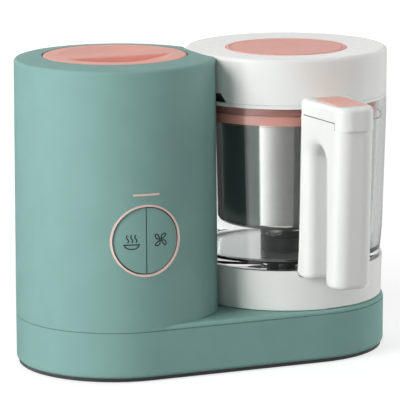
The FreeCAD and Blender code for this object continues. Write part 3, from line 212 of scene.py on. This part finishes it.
# Painted shadow: a dark strip for the shadow line in the handle's seam
SEAM_SHADOW = plastic("seam_painted_shadow", linear(92, 82, 78), 0.55, 0.70, 1800.0, 0.10)
BLACK = plastic("black_plastic", linear(30, 31, 32), 0.42, 0.56, 2000.0, 0.20, 0.10)
DARK = plastic("dark_plastic", linear(28, 30, 31), 0.30, 0.42, 2400.0, 0.10, 0.08)
RUBBER = plastic("rubber", linear(44, 45, 46), 0.66, 0.80, 1500.0, 0.35, 0.12)
SEAL = plastic("pale_silicone", linear(214, 214, 208), 0.48, 0.60, 1800.0, 0.14)
BOARD = plastic("green_board", linear(38, 92, 62), 0.40, 0.55, 900.0, 0.20, 0.10)
INK = plastic("dark_print", linear(36, 54, 52), 0.45, 0.55, 3000.0, 0.08)
STEEL = spun(metal("spun_steel", linear(212, 211, 208), 0.09, 0.15, FINE_RINGS, 0.025, 0.012,
                   Anisotropic=0.3))
BLADE_STEEL = metal("ground_steel", linear(214, 214, 212), 0.10, 0.22, LONG_BRUSH)
PLAIN_STEEL = metal("turned_steel", linear(168, 168, 166), 0.28, 0.42, ROUND_BRUSH)
COPPER = metal("copper_winding", linear(190, 112, 74), 0.30, 0.44, ROUND_BRUSH, 0.14)
BRONZE = metal("bronze", linear(176, 138, 82), 0.28, 0.40, ROUND_BRUSH)
ROSE = plastic("rose_gold", linear(250, 220, 208), 0.30, 0.38, 1800.0, 0.02, 0.015, Metallic=0.15)
ALUMINIUM = metal("cast_aluminium", linear(176, 178, 180), 0.42, 0.58, CAST_GRAIN, 0.08, 0.2)
GLASS = glass()

FINISH = {
    SAGE: ["body_shell", "base_shell"],
    SAGE_KEY: ["steam_button", "blend_button"],
    CORAL: ["reservoir_cap", "lid_insert"],
    CORAL_PAD: ["release_button"],
    CORAL_COLLAR_LIT: ["basket_collar"],
    CORAL_SOFT: ["lid_seal"],
    WHITE: ["lid_shell", "bowl_base", "rim_ring", "handle_body", "handle_cap", "lid_latch",
            "cap_plug"],
    LINER_PAINTED_SHADE: ["lid_liner"],
    BLACK: ["bottom_plate", "cord_gland", "motor_mount", "spindle_housing"],
    DARK: ["bearing_housing", "bearing_nut", "blade_hub", "blade_dog", "drive_dog", "motor_pulley",
           "spindle_pulley", "thermostats", "tact_switches"],
    RUBBER: ["feet", "motor_dampers", "drive_belt", "shaft_seal"],
    SEAL: ["steam_outlet", "cap_seal", "bowl_gasket"],
    BOARD: ["control_board", "power_board"],
    STEEL: ["basket", "water_tank", "steam_tube"],
    BLADE_STEEL: ["blades", "blade_nut"],
    PLAIN_STEEL: ["blade_shaft", "drive_spindle", "motor_shaft", "spindle_bearings", "base_screws",
                  "handle_screws", "release_spring", "motor_can"],
    COPPER: ["motor_armature"],
    BRONZE: ["motor_bushes", "blade_bush"],
    ROSE: ["control_ring", "indicator_bar"],
    ALUMINIUM: ["heater_plate", "heater_element"],
    GLASS: ["glass_bowl"],
}
for material, names in FINISH.items():
    for name in names:
        slots = nodes[name].data.materials
        slots.clear()
        slots.append(material)


# Pieces

def new_mesh(name, points, faces):
    """A mesh from points in mm."""
    mesh = bpy.data.meshes.new(name)
    mesh.from_pydata([Vector(point) * MM for point in points], [], faces)
    return mesh


def face_out(mesh):
    shaper = bmesh.new()
    shaper.from_mesh(mesh)
    bmesh.ops.recalc_face_normals(shaper, faces=shaper.faces)
    shaper.to_mesh(mesh)
    shaper.free()


def new_piece(name, points, faces, material, body, slot, crease=CREASE):
    """A mesh piece from points in mm that moves with a body."""
    mesh = new_mesh(name, points, faces)
    mesh.validate()
    finish_mesh(mesh, material, crease)
    return place_piece(bpy.data.objects.new(name, mesh), body)


def finish_mesh(mesh, material, crease):
    face_out(mesh)
    mesh.materials.clear()
    mesh.materials.append(material)
    mesh.shade_smooth()
    mesh.set_sharp_from_angle(angle=math.radians(crease))


def place_piece(obj, body):
    scene.collection.objects.link(obj)
    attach(obj, body)
    return obj


def lathe(profile, centre, steps):
    """Points and faces of a closed (r, z) outline turned about a vertical axis."""
    points, rings = [], []
    for radius, z in profile:
        if radius < 1e-6:
            rings.append([len(points)] * steps)
            points.append((centre.x, centre.y, z))
            continue
        rings.append(range(len(points), len(points) + steps))
        points += [at_angle(centre, radius, math.tau * step / steps, z) for step in range(steps)]
    faces = []
    for here, there in zip(rings, rings[1:] + rings[:1]):
        for step in range(steps):
            after = (step + 1) % steps
            corners = [here[step], here[after], there[after], there[step]]
            face = [c for i, c in enumerate(corners) if c not in corners[:i]]
            if len(face) > 2:
                faces.append(face)
    return points, faces


def quarter(radius, z, size, start, steps=6):
    """(r, z) points of a quarter round about one centre, from a start angle in degrees."""
    turns = [math.radians(start + 90 * step / steps) for step in range(steps + 1)]
    return [(radius + size * math.cos(t), z + size * math.sin(t)) for t in turns]


def joined(parts):
    """Several (points, faces) as one."""
    points, faces = [], []
    for more, sides in parts:
        faces += [[corner + len(points) for corner in side] for side in sides]
        points += more
    return points, faces


def with_boolean(obj, tool, operation):
    """The mesh of obj after one exact boolean with a tool, which is removed."""
    scene.collection.objects.link(obj)
    scene.collection.objects.link(tool)
    step = obj.modifiers.new("join", "BOOLEAN")
    step.operation = operation
    step.solver = "EXACT"
    step.object = tool
    bpy.context.view_layer.update()
    made = bpy.data.meshes.new_from_object(obj.evaluated_get(bpy.context.evaluated_depsgraph_get()))
    for used in (obj, tool):
        bpy.data.objects.remove(used)
    return made


def raw(name, points, faces):
    """A bare object for a boolean."""
    mesh = new_mesh(name, points, faces)
    face_out(mesh)
    return bpy.data.objects.new(name, mesh)


def tube_faces(rows, sides):
    """Faces between rows of points that each go round once, without the ends."""
    faces = []
    for row in range(rows - 1):
        here, there = row * sides, (row + 1) * sides
        for side in range(sides):
            after = (side + 1) % sides
            faces.append([here + side, here + after, there + after, there + side])
    return faces


def at_angle(centre, radius, turn, z):
    return (centre.x + radius * math.cos(turn), centre.y + radius * math.sin(turn), z)


# Printed signs on the two buttons: rising steam on the left, crossed blades on the right

def on_button(u, v, lift):
    """A point of the control's face, u across and v up from its middle, lifted off the button."""
    z = CONTROL_Z + v
    taper = (COLUMN_TOP_R - COLUMN_R) * (z - DECK_Z) / (COLUMN_TOP_Z - DECK_Z)
    radius = COLUMN_R + taper - BUTTON_SINK + lift
    flat = Vector((u, -math.sqrt(radius ** 2 - u ** 2), 0.0))
    flat.rotate(Matrix.Rotation(CONTROL_TURN, 3, "Z"))
    return (COLUMN.x + flat.x, COLUMN.y + flat.y, z)


def stroke(line, width, closed=False, lifts=(INK_LIFT, -INK_LIFT)):
    """A line as a closed ribbon between two lifts off the button's face, printed there unless said."""
    count = len(line)
    points = []
    for step, (u, v) in enumerate(line):
        if closed:
            before, after = line[step - 1], line[(step + 1) % count]
        else:
            before, after = line[max(step - 1, 0)], line[min(step + 1, count - 1)]
        along = Vector((after[0] - before[0], after[1] - before[1])).normalized()
        side = Vector((-along.y, along.x)) * width / 2
        for lift in lifts:
            points.append(on_button(u + side.x, v + side.y, lift))
            points.append(on_button(u - side.x, v - side.y, lift))
    faces = []
    for step in range(count if closed else count - 1):
        a, b = 4 * step, 4 * ((step + 1) % count)
        faces += [[a, a + 1, b + 1, b], [a + 3, a + 2, b + 2, b + 3],
                  [a + 1, a + 3, b + 3, b + 1], [a + 2, a, b, b + 2]]
    if not closed:
        last = 4 * (count - 1)
        faces += [[0, 2, 3, 1], [last, last + 1, last + 3, last + 2]]
    return points, faces


def steam_sign():
    middle, spacing, sway = -SIGN_OUT, 3.2, 0.75
    wave_low, wave_tall, wave_steps = -1.2, 6.0, 24
    dish_z, dish_r, dish_deep, dish_steps = -2.8, 5.6, 3.4, 28
    rim_half, rim_steps = 6.4, 12
    strokes = []
    for offset in (-spacing, 0.0, spacing):
        wave = []
        for step in range(wave_steps + 1):
            part = step / wave_steps
            u = middle + offset + sway * math.sin(math.tau * part)
            wave.append((u, wave_low + wave_tall * part))
        strokes.append(stroke(wave, SIGN_LINE))
    dish = []
    for step in range(dish_steps + 1):
        turn = math.pi + math.pi * step / dish_steps
        dish.append((middle + dish_r * math.cos(turn), dish_z + dish_deep * math.sin(turn)))
    strokes.append(stroke(dish, SIGN_LINE))
    rim = [(middle + rim_half * step / rim_steps, dish_z) for step in range(-rim_steps, rim_steps + 1)]
    strokes.append(stroke(rim, SIGN_LINE))
    new_piece("steam_sign", *joined(strokes), INK, "steam_button", "button_sage")


def hoop(u, radius, steps):
    """Points of a circle on the control's face, u off its middle."""
    turns = [math.tau * step / steps for step in range(steps)]
    return [(u + radius * math.cos(turn), radius * math.sin(turn)) for turn in turns]


def blend_sign():
    blades, blade_steps, hub_r, hub_steps = 4, 36, 0.8, 20
    reach, half_long, half_wide, bow, bow_span = 3.7, 2.3, 1.25, 0.5, 6.0
    strokes = []
    for number in range(blades):
        turn = math.pi / 4 + number * math.tau / blades
        blade = []
        for step in range(blade_steps):
            around = math.tau * step / blade_steps
            along = reach + half_long * math.cos(around)
            across = half_wide * math.sin(around) + bow * math.sin(along / bow_span * math.pi)
            blade.append((SIGN_OUT + along * math.cos(turn) - across * math.sin(turn),
                          along * math.sin(turn) + across * math.cos(turn)))
        strokes.append(stroke(blade, SIGN_LINE, True))
    strokes.append(stroke(hoop(SIGN_OUT, hub_r, hub_steps), SIGN_LINE, True))
    new_piece("blend_sign", *joined(strokes), INK, "blend_button", "button_sage")


# Rose trim round and above the buttons

def control_trim():
    outer, width, proud, deep, steps = 28.0, 1.5, 0.4, 2.5, 160
    bar_half, bar_tall, bar_up, bar_proud, bar_steps = 10.5, 1.5, 35.7, 0.2, 16
    low = BUTTON_SINK - deep
    ring = stroke(hoop(0.0, outer - width / 2, steps), width, True, (BUTTON_SINK + proud, low))
    piece = new_piece("control_ring_trim", *ring, ROSE, "base", "rose_metal")
    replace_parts(piece, "control_ring")
    line = [(bar_half * step / bar_steps, bar_up) for step in range(-bar_steps, bar_steps + 1)]
    bar = stroke(line, bar_tall, False, (BUTTON_SINK + bar_proud, low))
    piece = new_piece("indicator_bar_trim", *bar, ROSE, "base", "rose_metal")
    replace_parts(piece, "indicator_bar")


# Lid insert with the fine groove that runs inside its edge

def lid_insert():
    low, top, radius, edge, bevel, steps = 238.5, 242.5, 48.4, 0.5, 0.3, 160
    groove, groove_w, groove_d, lip, lip_d = 45.1, 0.7, 0.6, 0.25, 0.2
    dish, dish_top, dish_steps = 0.7, top - 0.02, 16
    outer, inner = groove + groove_w / 2, groove - groove_w / 2
    profile = [(0.0, low), (radius - bevel, low), (radius, low + bevel)]
    profile += quarter(radius - edge, top - edge, edge, 0)
    profile += [(outer + lip, top), (outer, top - lip_d), (outer, top - groove_d),
                (inner, top - groove_d), (inner, top - lip_d), (inner - lip, dish_top)]
    for step in range(1, dish_steps + 1):
        part = step / dish_steps
        profile.append(((inner - lip) * (1 - part), dish_top - dish * (1 - (1 - part) ** 2)))
    made = lathe(profile, BOWL, steps)
    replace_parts(new_piece("lid_insert_grooved", *made, CORAL, "lid", "coral"), "lid_insert")


# Feet with treads, screws with cross recesses

def ring_places(inset, left, right):
    """Places inside the base's edge, at angles about the column and about the bowl."""
    spots = [(COLUMN, COLUMN_R - inset, angle) for angle in left]
    spots += [(BOWL, BASE_END_R - inset, angle) for angle in right]
    return [Vector(at_angle(axis, reach, math.radians(angle), 0.0)) for axis, reach, angle in spots]


def feet():
    radius, top, edge, inset, steps = 9.0, 2.4, 0.5, 22.0, 56
    tread, tread_low, tread_top = 0.5, 0.5, 0.3
    profile = [(0.0, 0.0)]
    for middle in (3.0, 5.4, 7.4):
        profile += [(middle - tread_low, 0.0), (middle - tread_top, tread),
                    (middle + tread_top, tread), (middle + tread_low, 0.0)]
    profile += quarter(radius - edge, edge, edge, 270)
    profile += [(radius, top), (0.0, top)]
    spots = ring_places(inset, (125, 235), (55, -55))
    made = joined(lathe(profile, spot, steps) for spot in spots)
    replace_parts(new_piece("feet_treaded", *made, RUBBER, "base", "rubber"), "feet")


def screws():
    head_r, shank_r, low, head_top, top, bevel, point = 3.0, 1.6, 1.0, 2.6, 15.0, 0.3, 2.0
    inset, steps, turns, thread_d, thread_half = 7.6, 40, 9, 0.35, 0.25
    recess_low, recess_top, recess_narrow = low - 0.2, low + 1.1, 0.75
    arms = ((1.75, 0.42), (0.42, 1.7501))
    shank_top = top - point
    profile = [(0.0, low), (head_r - bevel, low), (head_r, low + bevel), (head_r, head_top),
               (shank_r, head_top)]
    for step in range(1, turns):
        z = head_top + (shank_top - head_top) * step / turns
        profile += [(shank_r, z - thread_half), (shank_r - thread_d, z), (shank_r, z + thread_half)]
    profile += [(shank_r, shank_top), (0.0, top)]
    spots = ring_places(inset, (125, 180, 235), (55, 0, -55))
    body = raw("screws", *joined(lathe(profile, spot, steps) for spot in spots))
    for half_x, half_y in arms:
        arm = joined(tapered_box(spot, half_x, half_y, recess_low, recess_top, recess_narrow)
                     for spot in spots)
        mesh = with_boolean(body, raw("recess", *arm), "DIFFERENCE")
        body = bpy.data.objects.new("base_screws_cross", mesh)
    finish_mesh(mesh, PLAIN_STEEL, CREASE)
    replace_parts(place_piece(body, "base"), "base_screws")


def tapered_box(spot, half_x, half_y, z0, z1, narrow):
    points = []
    for z, scale in ((z0, 1.0), (z1, narrow)):
        for x, y in QUAD:
            points.append((spot.x + x * half_x * scale, spot.y + y * half_y * scale, z))
    return points, [[3, 2, 1, 0], [4, 5, 6, 7]] + tube_faces(2, 4)


# Cap's screw plug, with a four-start thread of the cap's own lead

def cap_plug():
    low, high, crest, root, inner, floor_t = 215.4, 234.0, 44.7, 43.7, 42.3, 2.4
    starts, lead, fade_z, ridge_w, ridge_slope = 4, 14.0, 2.0, 2.4, 6.0
    steps, rows, crease = 192, 48, 40.0
    pitch = lead / starts
    points = []
    for row in range(rows + 1):
        z = low + (high - low) * row / rows
        fade = min(1.0, (z - low) / fade_z, (high - z) / fade_z)
        for step in range(steps):
            phase = (z / pitch - starts * step / steps) % 1.0
            ridge = max(0.0, min(1.0, ridge_w - ridge_slope * abs(phase - 0.5))) * fade
            radius = root + (crest - root) * ridge
            points.append(at_angle(COLUMN, radius, math.tau * step / steps, z))
    faces = tube_faces(rows + 1, steps)
    inside = [(inner, high), (inner, low + floor_t), (0.0, low + floor_t), (0.0, low)]
    more, sides = lathe(inside, COLUMN, steps)
    base = len(points)
    points += more
    rim, centre = rows * steps, base + 2 * steps + 1
    for step in range(steps):
        after = (step + 1) % steps
        faces.append([rim + step, rim + after, base + after, base + step])
        faces.append([step, centre, after])
    wall_and_floor = sides[:2 * steps]
    faces += [[corner + base for corner in side] for side in wall_and_floor]
    piece = new_piece("cap_plug_threaded", points, faces, WHITE, "cap", "white", crease)
    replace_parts(piece, "cap_plug")


# Blades with ground edges

def blades():
    low, thick, root, knee_low, knee_high = 95.8, 1.4, 8.1, 32.0, 28.0
    reach, half, tip, grind, land, crease = 40.0, 6.5, 2.6, 2.6, 0.2, 12.0
    eye_in, eye_out, eye_steps = 4.0, 9.0, 64
    edge = [(root, -half), (knee_low, -half), (reach, tip), (knee_high, half), (root, half)]
    flat = [(root, -half + grind), (knee_low - 1.0, -half + grind), (reach - 3.4, tip - 0.5),
            (knee_high - 0.4, half), (root, half)]
    layers = ((edge, 0.0), (edge, land), (flat, thick))
    points = [Vector((x, y, h)) for outline, h in layers for x, y in outline]
    faces = [[4, 3, 2, 1, 0], [10, 11, 12, 13, 14]] + tube_faces(len(layers), len(edge))
    shaper = bmesh.new()
    for z, lift, turn in ((low, 0.0, 48.0), (low + thick, 5.0, 88.0)):
        eye = [(eye_in, z), (eye_out, z), (eye_out, z + thick), (eye_in, z + thick)]
        blade = raw("blade", *lathe(eye, Vector(), eye_steps))
        for side in (0.0, 180.0):
            bend = Matrix.Rotation(math.radians(-lift), 4, "Y")
            tilt = Matrix.Translation((root, 0.0, z)) @ bend @ Matrix.Translation((-root, 0.0, 0.0))
            tilt = Matrix.Rotation(math.radians(side), 4, "Z") @ tilt
            wing = raw("wing", [tilt @ point for point in points], faces)
            blade = bpy.data.objects.new("blade", with_boolean(blade, wing, "UNION"))
        turned = Matrix.Rotation(math.radians(turn), 4, "Z")
        blade.data.transform(Matrix.Translation(BOWL * MM) @ turned)
        shaper.from_mesh(blade.data)
        bpy.data.objects.remove(blade)
    mesh = bpy.data.meshes.new("blades_ground")
    shaper.to_mesh(mesh)
    shaper.free()
    finish_mesh(mesh, BLADE_STEEL, crease)
    piece = place_piece(bpy.data.objects.new("blades_ground", mesh), "blade")
    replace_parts(piece, "blades")


# Return spring of the thumb button, as a wound coil

def spring():
    low, high, reach, wire, turns = 201.0, 212.0, 3.0, 0.4, 5.5
    axis = BOWL + Vector((0.0, -116.225, 0.0))
    steps, sides = 160, 10
    points = []
    for step in range(steps + 1):
        part = step / steps
        turn = math.tau * turns * part
        z = low + wire + (high - low - 2 * wire) * part
        for side in range(sides):
            around = math.tau * side / sides
            points.append(at_angle(axis, reach + wire * math.cos(around), turn,
                                   z + wire * math.sin(around)))
    last = steps * sides
    faces = tube_faces(steps + 1, sides) + [list(range(sides)), list(range(last, last + sides))]
    coil = new_piece("release_spring_coil", points, faces, PLAIN_STEEL, "bowl", "steel")
    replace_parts(coil, "release_spring")
    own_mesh(coil)


# Painted shadow: a dark strip that shows as the shadow line of the seam under the handle's cap, along
# both sides and down at the front skirt

def handle_seam_shadow():
    reach, back, front, step_y, taper = 139.0, 81.4, 30.2, 129.42, 0.0922
    seam, drop, tall, deep, proud, sunk, steps = 201.1, 6.0, 0.7, 0.6, 0.04, 0.05, 12

    def side(out):
        return front / 2 + taper * (reach - out) + proud

    def bar(hand, rows):
        """A square bar on one hand, through rows of four corners (across, out, up)."""
        points = [(BOWL.x + hand * across, BOWL.y - out, z) for row in rows for across, out, z in row]
        last = len(points) - 4
        ends = [[0, 1, 2, 3], [last + 3, last + 2, last + 1, last]]
        return points, tube_faces(len(rows), 4) + ends

    level = []
    for step in range(steps + 1):
        out = back + (step_y - back) * step / steps
        level.append([(side(out) - inset, out, z) for inset, z in
                      ((0.0, seam), (deep, seam), (deep, seam - tall), (0.0, seam - tall))])
    down = []
    for z in (seam - tall / 2, seam - drop):
        down.append([(side(step_y) - inset, step_y - run, z) for inset, run in
                     ((sunk, 0.0), (deep, 0.0), (deep, tall / 2), (sunk, tall / 2))])
    parts = [bar(hand, rows) for hand in (-1, 1) for rows in (level, down)]
    new_piece("handle_seam_shadow", *joined(parts), SEAM_SHADOW, "bowl", "rubber")


steam_sign()
blend_sign()
control_trim()
lid_insert()
feet()
screws()
cap_plug()
blades()
spring()
handle_seam_shadow()


# Studio

FLOOR_TONE = (0.42, 0.42, 0.42, 1.0)
LIFT_START, LIFT_END = 0.25, 1.6         # metres from the object over which the floor turns white
CARD_NEAR, CARD_FAR, CARD_Z = 0.2, 2.6, 0.002
CARD_STEPS = 24
CARD_CURVE = 4.0                         # how fast a card's tone comes down


def pale_floor(colour, near, far):
    """A floor that takes a shadow; camera, metal and glass see it turn white away from the object."""
    look = Look("pale_floor")
    look.colour(look.noise(2.0), colour, 0.004)
    look.set(Roughness=0.9, Specular_IOR_Level=0.0, Emission_Color=WHITE_LIGHT)
    away = look.add("ShaderNodeVectorMath", operation="LENGTH")
    look.join(look.place, away.inputs[0])
    lift = look.add("ShaderNodeMapRange", interpolation_type="SMOOTHSTEP")
    lift.inputs["From Min"].default_value = LIFT_START
    lift.inputs["From Max"].default_value = LIFT_END
    lift.inputs["To Min"].default_value = near
    lift.inputs["To Max"].default_value = far
    look.join(away.outputs["Value"], lift.inputs["Value"])
    scaled = look.add("ShaderNodeMath", operation="MULTIPLY")
    look.join(seen_directly(look.tree), scaled.inputs[0])
    look.join(lift.outputs["Result"], scaled.inputs[1])
    look.join(scaled.outputs[0], look.shader.inputs["Emission Strength"])
    return look.material


def seen_directly(tree):
    """1 for rays from the camera, metal and glass, else 0."""
    path = tree.nodes.new("ShaderNodeLightPath")
    total = path.outputs["Is Camera Ray"]
    for name in ("Is Glossy Ray", "Is Transmission Ray"):
        either = tree.nodes.new("ShaderNodeMath")
        either.operation = "MAXIMUM"
        tree.links.new(total, either.inputs[0])
        tree.links.new(path.outputs[name], either.inputs[1])
        total = either.outputs[0]
    return total


def make_floor(size, colour, near, far):
    mesh = bpy.data.meshes.new("floor")
    corners = [(x * size, y * size, 0.0) for x, y in QUAD]
    mesh.from_pydata(corners, [], [(0, 1, 2, 3)])
    floor = bpy.data.objects.new("floor", mesh)
    scene.collection.objects.link(floor)
    mesh.materials.append(pale_floor(colour, near, far))


def make_card(name, start, end, rise, tone, fall=None):
    """A card on the floor about the bowl, turned up at its far side, seen only in gloss and glass.

    fall is the tone that it goes over to, and the two azimuths between which it does so."""
    points = []
    for step in range(CARD_STEPS + 1):
        turn = math.radians(start + (end - start) * step / CARD_STEPS)
        for reach, z in ((CARD_NEAR, CARD_Z), (CARD_FAR, CARD_Z), (CARD_FAR, rise)):
            points.append((reach * math.sin(turn), -reach * math.cos(turn), z))
    faces = []
    for step in range(CARD_STEPS):
        for row in (0, 1):
            corner = 3 * step + row
            faces.append((corner, corner + 1, corner + 4, corner + 3))
    mesh = bpy.data.meshes.new(name)
    mesh.from_pydata(points, [], faces)
    card = bpy.data.objects.new(name, mesh)
    card.location = BOWL * MM
    scene.collection.objects.link(card)
    look = Look(name)
    look.set(Base_Color=(0.0, 0.0, 0.0, 1.0), Roughness=1.0, Specular_IOR_Level=0.0,
             Emission_Strength=tone, Emission_Color=WHITE_LIGHT)
    if fall:
        low, first, last = fall
        around = look.add("ShaderNodeTexGradient", gradient_type="RADIAL")
        look.join(look.place, around.inputs["Vector"])
        left = look.add("ShaderNodeMapRange")
        left.inputs["From Min"].default_value = (first + 90) / 360
        left.inputs["From Max"].default_value = (last + 90) / 360
        left.inputs["To Min"].default_value = 1.0
        left.inputs["To Max"].default_value = 0.0
        look.join(around.outputs["Fac"], left.inputs["Value"])
        curve = look.add("ShaderNodeMath", operation="POWER")
        curve.inputs[1].default_value = CARD_CURVE
        look.join(left.outputs["Result"], curve.inputs[0])
        level = look.add("ShaderNodeMapRange")
        level.inputs["To Min"].default_value = low
        level.inputs["To Max"].default_value = tone
        look.join(curve.outputs[0], level.inputs["Value"])
        look.join(level.outputs["Result"], look.shader.inputs["Emission Strength"])
    mesh.materials.append(look.material)
    for sort in ("camera", "diffuse", "volume_scatter", "shadow"):
        setattr(card, "visible_" + sort, False)


def make_world(ambient):
    world = bpy.data.worlds.new("studio")
    scene.world = world
    world.use_nodes = True
    tree = world.node_tree
    back = tree.nodes["Background"]
    back.inputs["Color"].default_value = WHITE_LIGHT
    level = tree.nodes.new("ShaderNodeMapRange")
    level.inputs["To Min"].default_value = ambient
    level.inputs["To Max"].default_value = 1.0
    tree.links.new(seen_directly(tree), level.inputs["Value"])
    tree.links.new(level.outputs["Result"], back.inputs["Strength"])


def lamp(name, place, target, size, power):
    """A soft lamp that lights the object and leaves no glint of its own."""
    data = bpy.data.lights.new(name, "AREA")
    data.shape = "RECTANGLE"
    data.size, data.size_y = size
    data.energy = power
    light = bpy.data.objects.new(name, data)
    light.location = place
    light.rotation_mode = "QUATERNION"
    light.rotation_quaternion = (Vector(target) - Vector(place)).to_track_quat("-Z", "Y")
    light.visible_glossy = False
    scene.collection.objects.link(light)


def make_camera():
    """A camera at the photograph's angle, fitted to its edges."""
    azimuth, elevation, roll = (math.radians(angle) for angle in (-21.68, 11.05, 0.234))
    target = Vector((-1.9, 29.3, 123.07)) * MM
    distance = 2227.0 * MM
    level = math.cos(elevation)
    back = Vector((math.sin(azimuth) * level, -math.cos(azimuth) * level, math.sin(elevation)))
    right = Vector((math.cos(azimuth), math.sin(azimuth), 0.0))
    up = back.cross(right)
    turned_right = right * math.cos(roll) - up * math.sin(roll)
    turned_up = right * math.sin(roll) + up * math.cos(roll)
    data = bpy.data.cameras.new("camera")
    data.sensor_width = 36.0
    data.lens = 251.6
    data.clip_end = 50.0
    camera = bpy.data.objects.new("camera", data)
    scene.collection.objects.link(camera)
    axes = Matrix((turned_right, turned_up, back)).transposed().to_4x4()
    camera.matrix_world = Matrix.Translation(target + back * distance) @ axes
    scene.camera = camera


make_camera()
make_world(0.20)
make_floor(12.0, FLOOR_TONE, 0.70, 0.96)
make_card("front_card", -89.0, 64.0, 1.8, 1.88, (0.28, -62.0, 4.0))
make_card("left_card", -190.0, -92.0, 0.3, 0.02)
make_card("right_card", 64.0, 150.0, 0.7, 0.28, (0.56, 64.0, 150.0))
lamp("key", (-1.50, -0.46, 0.70), (-0.05, 0.0, 0.12), (0.7, 1.2), 28.2)
lamp("fill", (1.58, -0.25, 0.48), (0.0, 0.0, 0.12), (0.4, 1.0), 10.5)
lamp("front_fill", (1.10, -1.22, 0.55), (0.0, 0.0, 0.12), (0.6, 0.8), 3.6)
lamp("top", (0.0, 0.9, 1.35), (0.0, 0.0, 0.2), (1.0, 0.8), 4.0)
